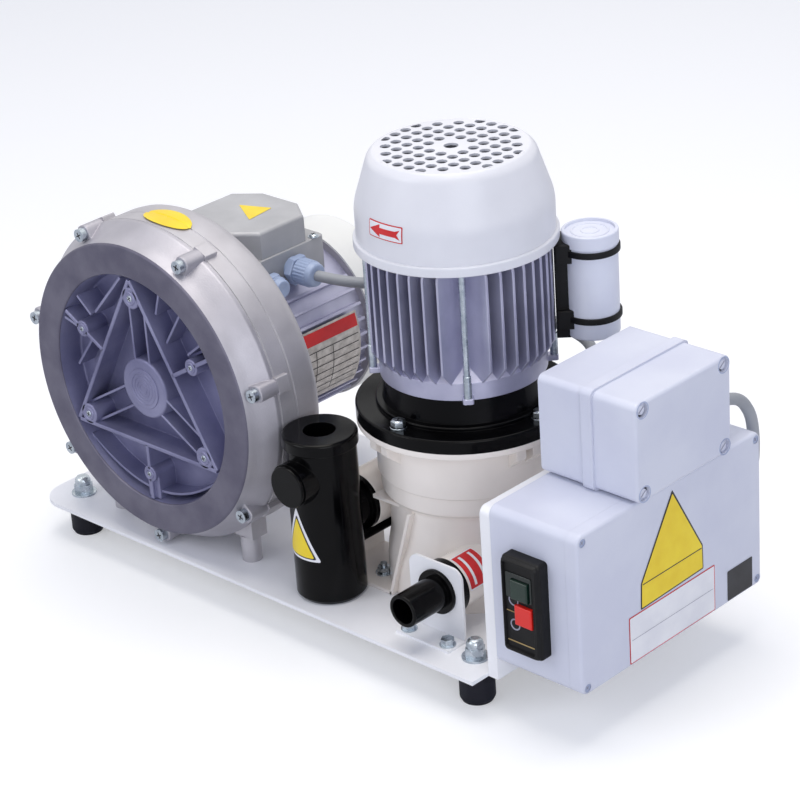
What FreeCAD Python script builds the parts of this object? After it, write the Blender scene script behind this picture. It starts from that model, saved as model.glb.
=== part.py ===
import FreeCAD, Part
import math
import os

import Sketcher
from FreeCAD import Placement, Rotation, Vector

# Dental suction unit, in millimetres.
# +X runs from the blower to the electric boxes, +Y to the back, +Z up.
# The origin is on the floor, under the middle of the unit.

SIZES = {
    # chassis sheet, feet and their dome nuts
    "plate_left": -280, "plate_length": 469.5, "plate_width": 234, "plate_thick": 3,
    "plate_corner": 24, "foot_height": 30, "foot_radius": 13, "foot_inset_x": 26.5,
    "foot_inset_right": 21, "foot_inset_y": 27, "stud_radius": 4, "stud_reach": 11,
    "washer_radius": 10, "washer_thick": 1.5, "nut_radius": 7.5, "nut_tall": 7, "dome_tall": 7,
    "panel_depth": 9, "panel_width": 200, "panel_tall": 133, "panel_sheet": 1.5,
    "panel_corner": 6, "fit_gap": 0.1,
    # blower, turned about an axis that runs front to back
    "blower_x": -137.5, "parting_y": -91, "blower_z": 165,
    "cover_depth": 25, "cover_floor": 4, "cover_rim": 127, "cover_rim_thick": 4,
    "ring_outer": 115.6, "ring_inner": 92, "hub_radius": 25, "hub_tall": 19,
    "hub_dish_radius": 21, "hub_dish_deep": 2.5, "channel_inner": 96.5, "channel_outer": 111.5,
    "channel_deep": 19, "rib_wide": 5, "rib_drop": 1, "triangle_inradius": 45,
    "boss_circle": 75, "boss_radius": 8.5, "small_boss_circle": 70, "small_boss_radius": 6.5,
    "lug_count": 7, "lug_circle": 124, "lug_radius": 6.5, "lug_front": 17, "lug_back": 26,
    "screw_radius": 2.5, "screw_head": 5, "screw_head_tall": 5, "screw_reach": 12,
    "housing_depth": 51, "housing_belly": 127, "belly_start": 16, "belly_end": 41,
    "housing_waist": 123, "housing_back_radius": 100, "chamber_radius": 114, "chamber_deep": 21,
    "post_radius": 7.75, "post_offset": 73, "post_back": 7, "post_tall": 21, "pad_half": 10,
    "impeller_gap": 0.8, "impeller_web": 5, "vane_count": 24, "vane_thick": 2,
    # motor of the blower
    "shaft_radius": 7.5, "shaft_fit": 0.05, "bearing_outer": 17.5, "bearing_wide": 11,
    "core_radius": 62, "core_bore": 54, "core_long": 105, "fin_tip": 68, "fin_thick": 2.2,
    "fin_open_angle": 48, "side_fin_count": 27, "stator_inner": 34, "stator_long": 74,
    "stator_inset": 15, "air_gap": 0.6, "shield_thick": 5, "shield_hub": 24,
    "cowl_radius": 69.5, "cowl_long": 42, "cowl_wall": 1.8, "cowl_slots": 12, "fan_radius": 58,
    "fan_thick": 2, "fan_tall": 16, "fan_blades": 8, "fan_inset": 7,
    # terminal box of the blower motor
    "terminal_x": -141.5, "terminal_y": 10, "terminal_low": 216, "terminal_split": 244,
    "terminal_top": 266, "terminal_half_x": 40, "terminal_half_y": 38, "terminal_cut_x": 21,
    "terminal_cut_y": 15, "terminal_base_half_x": 38, "terminal_base_half_y": 33,
    "gland_z": 228, "gland_y": 16, "gland_radius": 10.5, "gland_long": 19,
    "plug_y": -10, "plug_radius": 8.5, "plug_long": 12, "cable_radius": 4.2,
    # upright motor
    "motor_x": 85.5, "motor_y": 3, "flange_radius": 80, "flange_thick": 10.3, "step_radius": 65,
    "step_tall": 3, "neck_low_radius": 60, "neck_radius": 57, "neck_tall": 19,
    "frame_ring": 60.5, "frame_ring_tall": 13, "frame_radius": 59.5, "frame_bore": 51,
    "frame_tall": 86, "upright_fin_tip": 67, "upright_fins": 40, "fin_point": 9,
    "rod_circle": 65, "rod_radius": 2.2, "ear_radius": 5.5, "ear_tall": 9, "rod_head": 3.6,
    "rod_head_tall": 4, "flange_bolt_circle": 70, "flange_bolt_head": 5, "flange_bolt_tall": 5,
    "hood_radius": 70.5, "hood_bead": 72.8, "hood_bead_tall": 7, "hood_side": 31,
    "hood_cone": 27, "hood_top_radius": 59.5, "hood_crown": 4, "hood_wall": 1.8,
    "grille_pitch": 10.2, "grille_hole": 3.25, "grille_reach": 48.5, "upright_fan_radius": 60,
    # capacitor beside the upright motor
    "can_x": 155.5, "can_y": 65, "can_radius": 19.5, "can_low": 224, "can_tall": 79,
    "can_cap_tall": 10, "can_rim": 20.3, "strap_thick": 1.6, "strap_wide": 7,
    "strap_low": 236, "strap_high": 285, "bracket_low": 214, "bracket_high": 291,
    # air and water separator under the upright motor
    "separator_tall": 136.7, "mount_ring": 80, "mount_ring_thick": 4.9, "bowl_radius": 67,
    "bowl_wall": 4, "joint_radius": 65, "upper_seam": 97, "lower_seam": 83.8,
    "well_radius": 60, "well_floor": 4, "lug_rib_wide": 4, "lug_rib_drop": 22,
    "inlet_x": 17.5, "inlet_z": 92, "inlet_pipe": 22, "inlet_bore": 18, "inlet_front": -46,
    "inlet_back": 8, "outlet_x": 127, "outlet_z": 68, "outlet_pipe": 19.5, "outlet_bore": 15,
    "outlet_pipe_front": -70, "rib_front": -14, "rib_half": 7, "rib_low": 62,
    "turbine_radius": 50, "turbine_tall": 24, "turbine_z": 124, "turbine_blades": 8,
    "leg_x": -2, "leg_web": 4, "leg_front": -58, "leg_back": -8, "leg_flange": 3,
    "leg_nut_x": 36, "leg_nut_y": -44,
    # black inlet trap
    "trap_x": 18, "trap_y": -81, "trap_radius": 26.3, "collar_radius": 28,
    "collar_tall": 10, "trap_tall": 131, "trap_mouth": 12, "trap_wall": 3.5, "port_z": 132,
    "port_radius": 17, "port_bore": 13.5, "port_front": -115, "port_lip": 3, "plug_reach": 10,
    "union_radius": 21.6, "union_thick": 4, "union_front": -54, "union_sleeve": 17.7,
    "union_reach": 10, "union_bore": 14, "stub_x": 21, "stub_z": 65.2, "stub_radius": 4.5,
    # drain outlet
    "spigot_mouth": -118, "spigot_radius": 12.5, "spigot_bore": 9.5, "spigot_swell": 16,
    "swell_long": 14, "bracket_x": 125.2, "bracket_wide": 50.5, "bracket_tall": 58,
    "bracket_y": -81, "bracket_sheet": 2, "bracket_foot": 18, "bracket_corner": 9,
    "cuff_radius": 21, "bracket_bolt_inset": 6.5, "bracket_bolt_out": 11, "hex_radius": 5,
    "hex_tall": 4.5,
    # lower electric box
    "box_x": 198.5, "box_depth": 77, "box_base": 66, "box_width": 200, "box_tall": 122,
    "box_low": 44, "box_corner": 7, "box_wall": 3, "box_column": 15, "box_edge": 2.5,
    "box_screw_inset": 5.5, "lid_screw": 3.4, "lid_screw_core": 1.7, "lid_screw_long": 24,
    # start and stop switch in its front wall
    "switch_x": 215.5, "switch_wide": 33.5, "switch_low": 66.5, "switch_tall": 73.5,
    "switch_out": 10, "switch_slope": 5, "button_side": 15, "start_x": 233, "start_z": 117.4,
    "stop_x": 236, "stop_z": 98.5, "button_gap": 0.3, "button_proud": 3, "button_rest": 4.6,
    "contactor_deep": 48, "contactor_inset": 3,
    # upper electric box
    "top_box_x": 195.5, "top_box_depth": 84.7, "top_box_base": 38, "top_box_y": 9.75,
    "top_box_width": 105.5, "top_box_tall": 76, "top_band": 9.5, "top_inset": 1.4,
    "top_corner": 5, "top_screw_inset_y": 9, "top_screw_inset_z": 7, "top_screw_recess": 5.2,
    "top_recess_deep": 3, "loop_x": 258, "loop_high": 192,
    "loop_radius": 4.5, "box_gland": 8, "box_gland_long": 8, "motor_gland_y": 38,
    "motor_gland_z": 196,
}

doc = FreeCAD.newDocument("DentalSuctionUnit")
sheet = doc.addObject("Spreadsheet::Sheet", "Sizes")
for row, (alias, amount) in enumerate(SIZES.items(), 1):
    sheet.set(f"A{row}", alias)
    sheet.set(f"B{row}", str(amount))
    sheet.setAlias(f"B{row}", alias)
doc.recompute()


class Size:
    """A length, angle or count with the sheet formula that gives it."""

    def __init__(self, value, formula):
        self.value = value
        self.formula = formula

    def __add__(self, other):
        return Size(self.value + number(other), f"({self.formula} + {formula(other)})")

    def __radd__(self, other):
        return Size(number(other) + self.value, f"({formula(other)} + {self.formula})")

    def __sub__(self, other):
        return Size(self.value - number(other), f"({self.formula} - {formula(other)})")

    def __rsub__(self, other):
        return Size(number(other) - self.value, f"({formula(other)} - {self.formula})")

    def __mul__(self, other):
        return Size(self.value * number(other), f"({self.formula} * {formula(other)})")

    __rmul__ = __mul__

    def __truediv__(self, other):
        return Size(self.value / number(other), f"({self.formula} / {formula(other)})")

    def __neg__(self):
        return Size(-self.value, f"(0 - {self.formula})")


def number(item):
    return item.value if isinstance(item, Size) else float(item)


def formula(item):
    return item.formula if isinstance(item, Size) else repr(float(item))


def square_root(item):
    return Size(math.sqrt(number(item)), f"sqrt({formula(item)})")


def turn_x(radius, degrees):
    """X of the point at a radius and an angle."""
    return radius * round(math.cos(math.radians(degrees)), 9)


def turn_y(radius, degrees):
    """Y of the point at a radius and an angle."""
    return radius * round(math.sin(math.radians(degrees)), 9)


class Sheet:
    """Every alias of the sheet as a Size."""

    def __getattr__(self, alias):
        return Size(float(sheet.get(alias)), f"Sizes.{alias}")


S = Sheet()

# Heights and faces that several pieces share
plate_right = S.plate_left + S.plate_length
plate_half = S.plate_width / 2
plate_top = S.foot_height + S.plate_thick
separator_top = plate_top + S.separator_tall
flange_top = separator_top + S.flange_thick
step_top = flange_top + S.step_tall
neck_top = step_top + S.neck_tall
frame_low = neck_top + S.frame_ring_tall
frame_top = frame_low + S.frame_tall
hood_low = frame_top - 1
hood_bead_top = hood_low + S.hood_bead_tall
hood_side_top = hood_bead_top + S.hood_side
hood_top = hood_side_top + S.hood_cone + S.hood_crown
core_front = S.housing_depth
core_back = core_front + S.core_long
cowl_back = core_back + S.cowl_long
box_front = -S.box_width / 2
box_high = S.box_low + S.box_tall

FACING = {
    "up": Rotation(),
    "front": Rotation(Vector(1, 0, 0), 90),
    "back": Rotation(Vector(1, 0, 0), -90),
    "right": Rotation(Vector(0, 1, 0), 90),
    "left": Rotation(Vector(0, 1, 0), -90),
}


def bind(item, **sizes):
    """Set each property by its sheet formula."""
    for name, size in sizes.items():
        item.setExpression(name, formula(size))


def place(item, x, y, z, rotation):
    item.Placement = Placement(Vector(number(x), number(y), number(z)), rotation)
    for axis, size in (("x", x), ("y", y), ("z", z)):
        item.setExpression(f"Placement.Base.{axis}", formula(size))


def new_body(name, x=0, y=0, z=0, facing="up"):
    body = doc.addObject("PartDesign::Body", name)
    body.AllowCompound = True
    place(body, x, y, z, FACING[facing])
    return body


def origin_item(body, role):
    return next(item for item in body.Origin.OriginFeatures if item.Role == role)


def new_sketch(body, plane, lift=0):
    """Sketch on one of the body's own planes, moved along that plane's normal."""
    sketch = body.newObject("Sketcher::SketchObject", f"{body.Name}_outline")
    sketch.AttachmentSupport = (origin_item(body, plane), [""])
    sketch.MapMode = "FlatFace"
    sketch.AttachmentOffset = Placement(Vector(0, 0, number(lift)), Rotation())
    sketch.setExpression("AttachmentOffset.Base.z", formula(lift))
    return sketch


def pin(sketch, geometry, point, x, y):
    """Fix one point of the sketch by its two coordinates."""
    for kind, size in (("DistanceX", x), ("DistanceY", y)):
        mark = sketch.addConstraint(Sketcher.Constraint(kind, -1, 1, geometry, point, number(size)))
        sketch.setExpression(f"Constraints[{mark}]", formula(size))


def corner_arc(before, corner, after, radius):
    """Numbers of the tangent arc that rounds one corner."""
    to_before = (before - corner).normalize()
    to_after = (after - corner).normalize()
    half = to_before.getAngle(to_after) / 2
    start = corner + to_before * (radius / math.tan(half))
    end = corner + to_after * (radius / math.tan(half))
    centre = corner + (to_before + to_after).normalize() * (radius / math.sin(half))
    return start, end, centre


def add_loop(sketch, corners):
    """Closed outline through the corners; a third value rounds the corner to that radius."""
    count = len(corners)
    spots = [Vector(number(c[0]), number(c[1]), 0) for c in corners]
    arcs = {}
    for i, corner in enumerate(corners):
        if len(corner) == 3:
            arcs[i] = corner_arc(spots[i - 1], spots[i], spots[(i + 1) % count], number(corner[2]))
    lines = []
    for i in range(count):
        start = arcs[i][1] if i in arcs else spots[i]
        after = (i + 1) % count
        end = arcs[after][0] if after in arcs else spots[after]
        lines.append(sketch.addGeometry(Part.LineSegment(start, end), False))
    for i, corner in enumerate(corners):
        before, line = lines[i - 1], lines[i]
        if i not in arcs:
            sketch.addConstraint(Sketcher.Constraint("Coincident", before, 2, line, 1))
            pin(sketch, line, 1, corner[0], corner[1])
            continue
        start, end, centre = arcs[i]
        left_turn = (start - centre).cross(end - centre).z > 0
        first, last = (start, end) if left_turn else (end, start)
        from_angle = math.atan2(first.y - centre.y, first.x - centre.x)
        to_angle = math.atan2(last.y - centre.y, last.x - centre.x)
        circle = Part.Circle(centre, Vector(0, 0, 1), number(corner[2]))
        arc = sketch.addGeometry(Part.ArcOfCircle(circle, from_angle, to_angle), False)
        near, far = (1, 2) if left_turn else (2, 1)
        sketch.addConstraint(Sketcher.Constraint("Tangent", before, 2, arc, near))
        sketch.addConstraint(Sketcher.Constraint("Tangent", arc, far, line, 1))
        mark = sketch.addConstraint(Sketcher.Constraint("Radius", arc, number(corner[2])))
        sketch.setExpression(f"Constraints[{mark}]", formula(corner[2]))
        point = sketch.addGeometry(Part.Point(spots[i]), True)
        sketch.addConstraint(Sketcher.Constraint("PointOnObject", point, 1, before))
        sketch.addConstraint(Sketcher.Constraint("PointOnObject", point, 1, line))
        pin(sketch, point, 1, corner[0], corner[1])


def add_circle(sketch, x, y, radius):
    circle = Part.Circle(Vector(number(x), number(y), 0), Vector(0, 0, 1), number(radius))
    ring = sketch.addGeometry(circle, False)
    pin(sketch, ring, 3, x, y)
    mark = sketch.addConstraint(Sketcher.Constraint("Radius", ring, number(radius)))
    sketch.setExpression(f"Constraints[{mark}]", formula(radius))


def turned(body, corners):
    """Revolve an outline of (radius, height) corners about the body's own Z axis."""
    sketch = new_sketch(body, "XZ_Plane")
    add_loop(sketch, corners)
    feature = body.newObject("PartDesign::Revolution", f"{body.Name}_turned")
    feature.Profile = sketch
    feature.ReferenceAxis = (sketch, ["V_Axis"])
    feature.Angle = 360
    return feature


def padded(body, outline, low, length, plane="XY_Plane", middle=False):
    """Raise an outline by a length along its plane's normal; middle spreads it both ways."""
    sketch = new_sketch(body, plane, low)
    draw(sketch, outline)
    feature = body.newObject("PartDesign::Pad", f"{body.Name}_pad")
    feature.Profile = sketch
    feature.SideType = "Symmetric" if middle else "One side"
    bind(feature, Length=length)
    return feature


def pocketed(body, outline, low, length, plane="XY_Plane"):
    """Cut an outline away from its plane's height upwards, along the normal."""
    sketch = new_sketch(body, plane, low)
    draw(sketch, outline)
    feature = body.newObject("PartDesign::Pocket", f"{body.Name}_pocket")
    feature.Profile = sketch
    feature.Reversed = True
    bind(feature, Length=length)
    return feature


def draw(sketch, outline):
    """Outline: a list of circles (x, y, radius) under "circles", else loop corners."""
    if isinstance(outline, dict):
        for x, y, radius in outline["circles"]:
            add_circle(sketch, x, y, radius)
    else:
        add_loop(sketch, outline)


def around(body, feature, count, angle=360):
    """Repeat a feature about the body's Z axis."""
    pattern = body.newObject("PartDesign::PolarPattern", f"{body.Name}_pattern")
    pattern.Originals = [feature]
    pattern.Axis = (origin_item(body, "Z_Axis"), [""])
    pattern.Angle = angle
    bind(pattern, Occurrences=count)
    body.Tip = pattern
    return pattern


def edges_where(feature, test):
    doc.recompute()
    return [f"Edge{i}" for i, edge in enumerate(feature.Shape.Edges, 1) if test(edge)]


def rounded(body, radius, test):
    """Fillet the edges of the body's tip that pass a test."""
    base = body.Tip
    names = edges_where(base, test)
    feature = body.newObject("PartDesign::Fillet", f"{body.Name}_rounding")
    feature.Base = (base, names)
    bind(feature, Radius=radius)
    return feature


def at_level(axis, level):
    """Test for edges that lie wholly at one level of an axis."""
    def test(edge):
        spots = [vertex.Point for vertex in edge.Vertexes] + [edge.CenterOfMass]
        return all(abs(spot[axis] - number(level)) < 0.001 for spot in spots)
    return test


def box_loop(left, low, right, high, corner=None):
    """Corners of an upright rectangle, rounded when a corner radius is given."""
    spots = [(left, low), (right, low), (right, high), (left, high)]
    return spots if corner is None else [spot + (corner,) for spot in spots]


def cylinder(name, radius, length, x, y, z, facing="up"):
    item = doc.addObject("Part::Cylinder", name)
    bind(item, Radius=radius, Height=length)
    place(item, x, y, z, FACING[facing])
    return item


def block(name, length, width, height, x, y, z):
    item = doc.addObject("Part::Box", name)
    bind(item, Length=length, Width=width, Height=height)
    place(item, x, y, z, Rotation())
    return item


def fused(name, items):
    item = doc.addObject("Part::MultiFuse", name)
    item.Shapes = items
    return item


def cut(name, base, tools):
    """Take the tools away from the base."""
    item = doc.addObject("Part::Cut", name)
    item.Base = base
    item.Tool = tools[0] if len(tools) == 1 else fused(f"{name}_tools", tools)
    return item


def together(name, items):
    """One node of several like solids."""
    item = doc.addObject("Part::Compound", name)
    item.Links = items
    return item


nodes = []


def node(item):
    """Keep an object as a sub-part of its own; its name is the node's name."""
    nodes.append(item)
    return item


def foot_places():
    left = S.plate_left + S.foot_inset_x
    right = plate_right - S.foot_inset_right
    side = plate_half - S.foot_inset_y
    return [(left, -side), (right, -side), (right, side), (left, side)]


def make_chassis():
    plate = new_body("base_plate")
    corner = S.plate_corner
    outline = [
        (S.plate_left, -plate_half, corner), (plate_right, -plate_half),
        (plate_right, plate_half), (S.plate_left, plate_half, corner),
    ]
    padded(plate, outline, S.foot_height, S.plate_thick)
    holes = {"circles": [(x, y, S.stud_radius + S.fit_gap) for x, y in foot_places()]}
    pocketed(plate, holes, S.foot_height, S.plate_thick)
    node(plate)

    panel = new_body("side_panel")
    half = S.panel_width / 2
    low = S.foot_height
    high = low + S.panel_tall
    sheet_thick = S.panel_sheet
    outer = [(-half, low), (half, low), (half, high, S.panel_corner), (-half, high, S.panel_corner)]
    inner_corner = S.panel_corner - sheet_thick
    inner = [
        (-half + sheet_thick, low + S.plate_thick), (half - sheet_thick, low + S.plate_thick),
        (half - sheet_thick, high - sheet_thick, inner_corner),
        (-half + sheet_thick, high - sheet_thick, inner_corner),
    ]
    padded(panel, outer, plate_right, S.panel_depth, "YZ_Plane")
    pocketed(panel, inner, plate_right, S.panel_depth - sheet_thick, "YZ_Plane")
    node(panel)


def make_feet():
    feet = []
    nuts = []
    radius = S.foot_radius
    bolt = S.stud_radius
    for i, (x, y) in enumerate(foot_places(), 1):
        foot = new_body(f"foot_{i}", x, y)
        turned(foot, [
            (0, 0), (radius - 1.5, 0), (radius, 3), (radius, S.foot_height - 4),
            (radius - 1, S.foot_height), (bolt, S.foot_height),
            (bolt, plate_top + S.stud_reach), (0, plate_top + S.stud_reach),
        ])
        feet.append(foot)

        nut = new_body(f"nut_{i}", x, y, plate_top)
        bore = bolt + S.fit_gap
        hex_top = S.washer_thick + S.nut_tall
        turned(nut, [
            (bore, 0), (S.washer_radius, 0), (S.washer_radius, S.washer_thick),
            (bore, S.washer_thick),
        ])
        padded(nut, hexagon(S.nut_radius), S.washer_thick, S.nut_tall)
        dome = S.nut_radius - 1.2
        turned(nut, [
            (0, hex_top), (dome, hex_top), (dome, hex_top + S.dome_tall, 4.5),
            (0, hex_top + S.dome_tall),
        ])
        pocketed(nut, {"circles": [(0, 0, bore)]}, 0, S.stud_reach + S.fit_gap)
        nuts.append(nut)
    node(together("rubber_feet", feet))
    node(together("foot_nuts", nuts))


def hexagon(radius, x=0, y=0):
    return [(x + turn_x(radius, 60 * k), y + turn_y(radius, 60 * k)) for k in range(6)]


def blower_body(name, facing="front"):
    """Body whose Z axis is the blower's, with its zero at the parting plane."""
    return new_body(name, S.blower_x, S.parting_y, S.blower_z, facing)


def make_blower_cover():
    cover = blower_body("blower_cover")
    depth, floor = S.cover_depth, S.cover_floor
    dish = S.hub_tall - S.hub_dish_deep
    turned(cover, [
        (0, 0), (S.channel_inner, 0), (S.channel_inner, S.channel_deep, 5),
        (S.channel_outer, S.channel_deep, 5), (S.channel_outer, 0), (S.cover_rim, 0),
        (S.cover_rim, S.cover_rim_thick), (S.cover_rim - 5, S.cover_rim_thick + 1.5),
        (S.ring_outer + 2, depth * 0.55, 9), (S.ring_outer, depth, 3), (S.ring_inner, depth, 1.5),
        (S.ring_inner - 2, floor), (S.hub_radius + 1, floor), (S.hub_radius, S.hub_tall, 1),
        (S.hub_dish_radius, S.hub_tall), (S.hub_dish_radius, dish), (0, dish),
    ])
    rib_low = floor - 1
    rib_tall = depth - S.rib_drop - rib_low
    half = S.rib_wide / 2
    wall = S.ring_inner - 1
    reach = square_root(wall * wall - S.triangle_inradius * S.triangle_inradius) - 2
    side = padded(cover, box_loop(
        -reach, -S.triangle_inradius - half, reach, -S.triangle_inradius + half), rib_low, rib_tall)
    around(cover, side, 3)
    spoke = padded(cover, box_loop(
        -half, -wall, half, -S.triangle_inradius), rib_low, rib_tall)
    around(cover, spoke, 3)
    boss = padded(cover, {"circles": [(0, S.boss_circle, S.boss_radius)]}, rib_low, rib_tall)
    around(cover, boss, 3)
    small = padded(cover, {"circles": [
        (0, -S.small_boss_circle, S.small_boss_radius)]}, rib_low, rib_tall)
    around(cover, small, 3)
    keel = half * 2.6
    padded(cover, box_loop(-keel, -wall, keel, -S.small_boss_circle), rib_low, rib_tall - 3)
    for angle, start in ((68, 73), (53, 64), (38, 70)):
        padded(cover, radial_bar(angle, start, wall, S.rib_wide * 0.7), rib_low, rib_tall - 4)
    lug = padded(cover, lug_outline(), 0, S.lug_front)
    around(cover, lug, S.lug_count)
    hole = pocketed(cover, {"circles": [
        (0, -S.lug_circle, S.screw_radius + S.fit_gap)]}, 0, S.lug_front)
    around(cover, hole, S.lug_count)
    node(cover)


def radial_bar(angle, start, end, wide):
    """Rectangle along a radius at an angle."""
    half = wide / 2
    corners = []
    for radius, side in ((start, -half), (end, -half), (end, half), (start, half)):
        corners.append((turn_x(radius, angle) - turn_y(side, angle),
                        turn_y(radius, angle) + turn_x(side, angle)))
    return corners


def lug_outline():
    """Round-nosed lug at the foot of the screw circle, rooted in the casting."""
    circle, radius = S.lug_circle, S.lug_radius
    root = circle - radius * 1.4
    nose = circle + radius
    return [(-radius, -root), (-radius, -nose, radius * 0.9), (radius, -nose, radius * 0.9),
            (radius, -root)]


def make_blower_housing():
    housing = blower_body("blower_housing", "back")
    depth = S.housing_depth
    pocket = depth - S.bearing_wide
    channel_end = S.chamber_deep + S.channel_deep
    turned(housing, [
        (S.cover_rim, 0), (S.cover_rim, S.cover_rim_thick),
        (S.housing_waist, S.cover_rim_thick + 1), (S.housing_waist, S.belly_start),
        (S.housing_belly, S.belly_start + 1, 1), (S.housing_belly, S.belly_end, 8),
        (S.housing_back_radius, depth, 5), (S.bearing_outer + S.fit_gap, depth),
        (S.bearing_outer + S.fit_gap, pocket), (S.shaft_radius + 2, pocket),
        (S.shaft_radius + 2, S.chamber_deep), (S.channel_inner, S.chamber_deep),
        (S.channel_inner, channel_end, 5), (S.channel_outer, channel_end, 5),
        (S.channel_outer, S.chamber_deep), (S.chamber_radius, S.chamber_deep),
        (S.chamber_radius, 0),
    ])
    mirrored = [(x, -y) for x, y in box_lug()]
    lug = padded(housing, mirrored, 0, S.lug_back)
    around(housing, lug, S.lug_count)
    hole = pocketed(housing, {"circles": [
        (0, S.lug_circle, S.screw_radius + S.fit_gap)]}, 0, S.screw_reach + 2)
    around(housing, hole, S.lug_count)
    pad_low = S.blower_z - plate_top - S.post_tall
    wall = S.chamber_radius + 4
    near, far = S.post_offset - S.pad_half, S.post_offset + S.pad_half
    near_root = square_root(wall * wall - near * near)
    far_root = square_root(wall * wall - far * far)
    for side in (-1, 1):
        padded(housing, [
            (near * side, near_root), (far * side, far_root), (far * side, pad_low),
            (near * side, pad_low),
        ], 0, S.belly_start)
    node(housing)

    posts = []
    for i, side in enumerate((-1, 1), 1):
        post = cylinder(f"post_{i}", S.post_radius, S.post_tall,
                        S.blower_x + S.post_offset * side, S.parting_y + S.post_back, plate_top)
        posts.append(post)
    node(together("support_posts", posts))


def box_lug():
    """Square-nosed lug for the back half, at the foot of the screw circle."""
    circle, radius = S.lug_circle, S.lug_radius
    root = circle - radius * 0.8
    return box_loop(-radius, -(circle + radius), radius, -root)


def make_cover_screws():
    screws = blower_body("cover_screws")
    shank = padded(screws, {"circles": [(0, -S.lug_circle, S.screw_radius)]},
                   -S.screw_reach, S.screw_reach + S.lug_front)
    around(screws, shank, S.lug_count)
    head = padded(screws, {"circles": [(0, -S.lug_circle, S.screw_head)]},
                  S.lug_front, S.screw_head_tall)
    around(screws, head, S.lug_count)
    node(screws)


def make_impeller():
    impeller = blower_body("blower_impeller", "back")
    gap = S.impeller_gap
    deep = S.chamber_deep - gap
    middle = S.chamber_deep / 2
    half = S.impeller_web / 2
    rim = S.chamber_radius - gap
    bore = S.shaft_radius + S.fit_gap
    turned(impeller, [
        (bore, gap), (S.hub_radius, gap), (S.hub_radius, middle - half), (rim, middle - half),
        (rim, middle + half), (S.hub_radius, middle + half), (S.hub_radius, deep), (bore, deep),
    ])
    vane = padded(impeller, box_loop(S.channel_inner, gap, rim - 1, deep), 0, S.vane_thick,
                  "XZ_Plane", True)
    around(impeller, vane, S.vane_count)
    node(impeller)


def bearing(name, x, y, z, facing):
    ring = new_body(name, x, y, z, facing)
    turned(ring, [
        (S.shaft_radius + S.shaft_fit, 0), (S.bearing_outer, 0), (S.bearing_outer, S.bearing_wide),
        (S.shaft_radius + S.shaft_fit, S.bearing_wide),
    ])
    node(ring)


def make_blower_motor():
    housing = blower_body("blower_motor_housing", "back")
    turned(housing, [
        (S.core_bore, core_front), (S.core_radius, core_front), (S.core_radius, core_back),
        (S.core_bore, core_back),
    ])
    fin_low = core_front + S.post_back
    fin_high = core_back - S.shield_thick
    fin = padded(housing, box_loop(S.core_bore + 3, fin_low, S.fin_tip, fin_high), 0, S.fin_thick,
                 "XZ_Plane", True)
    span = 360 - 2 * SIZES["fin_open_angle"]
    start = SIZES["fin_open_angle"] - 90
    fin.Profile[0].AttachmentOffset = Placement(Vector(), Rotation(Vector(0, 1, 0), start))
    around(housing, fin, S.side_fin_count, span)
    node(housing)

    stator_low = core_front + S.stator_inset
    stator = blower_body("blower_stator", "back")
    outer = S.core_bore - S.fit_gap
    turned(stator, box_loop(S.stator_inner, stator_low, outer, stator_low + S.stator_long))
    node(stator)

    shield_low = core_back + S.shield_thick - S.bearing_wide
    rotor = blower_body("blower_rotor", "back")
    core = S.stator_inner - S.air_gap
    tail = core_back + S.shield_thick + S.fan_inset + S.fan_tall + 2
    turned(rotor, [
        (0, S.impeller_gap), (S.shaft_radius, S.impeller_gap), (S.shaft_radius, stator_low),
        (core, stator_low), (core, stator_low + S.stator_long),
        (S.shaft_radius, stator_low + S.stator_long), (S.shaft_radius, tail), (0, tail),
    ])
    node(rotor)

    shield = blower_body("blower_end_shield", "back")
    seat = S.bearing_outer + S.fit_gap
    opening = S.shaft_radius + 2
    shield_out = S.cowl_radius - S.cowl_wall - S.fit_gap
    shield_top = core_back + S.shield_thick
    turned(shield, [
        (opening, shield_low - 2), (S.shield_hub, shield_low - 2), (S.shield_hub, core_back),
        (shield_out, core_back), (shield_out, shield_top), (seat, shield_top),
        (seat, shield_low), (opening, shield_low),
    ])
    node(shield)
    bearing("blower_front_bearing", S.blower_x, S.parting_y + S.housing_depth - S.bearing_wide,
            S.blower_z, "back")
    bearing("blower_rear_bearing", S.blower_x, S.parting_y + shield_low, S.blower_z, "back")

    make_fan("blower_cooling_fan", S.blower_x, S.parting_y + shield_top + S.fan_inset, S.blower_z,
             "back", S.fan_radius)

    cowl = blower_body("blower_fan_cowl", "back")
    wall = S.cowl_wall
    radius = S.cowl_radius
    shoulder = radius - 9
    turned(cowl, [
        (radius - wall, core_back), (radius, core_back), (radius, cowl_back - 7, 6),
        (shoulder, cowl_back, 4), (0, cowl_back), (0, cowl_back - wall),
        (shoulder - 1, cowl_back - wall, 3), (radius - wall, cowl_back - 8, 5),
    ])
    slot = pocketed(cowl, box_loop(-2.2, 18, 2.2, 52, 2), cowl_back - 3, 4)
    around(cowl, slot, S.cowl_slots)
    node(cowl)


def make_fan(name, x, y, z, facing, radius):
    """Cooling fan: a thin disc, a hub and flat radial blades."""
    fan = new_body(name, x, y, z, facing)
    bore = S.shaft_radius + S.fit_gap
    hub = bore + 5
    turned(fan, [
        (bore, 0), (radius, 0), (radius, S.fan_thick), (hub, S.fan_thick), (hub, S.fan_tall),
        (bore, S.fan_tall),
    ])
    blade = padded(fan, box_loop(hub - 1, 0, radius, S.fan_tall), 0, S.fan_thick, "XZ_Plane", True)
    around(fan, blade, S.fan_blades)
    node(fan)


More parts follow.
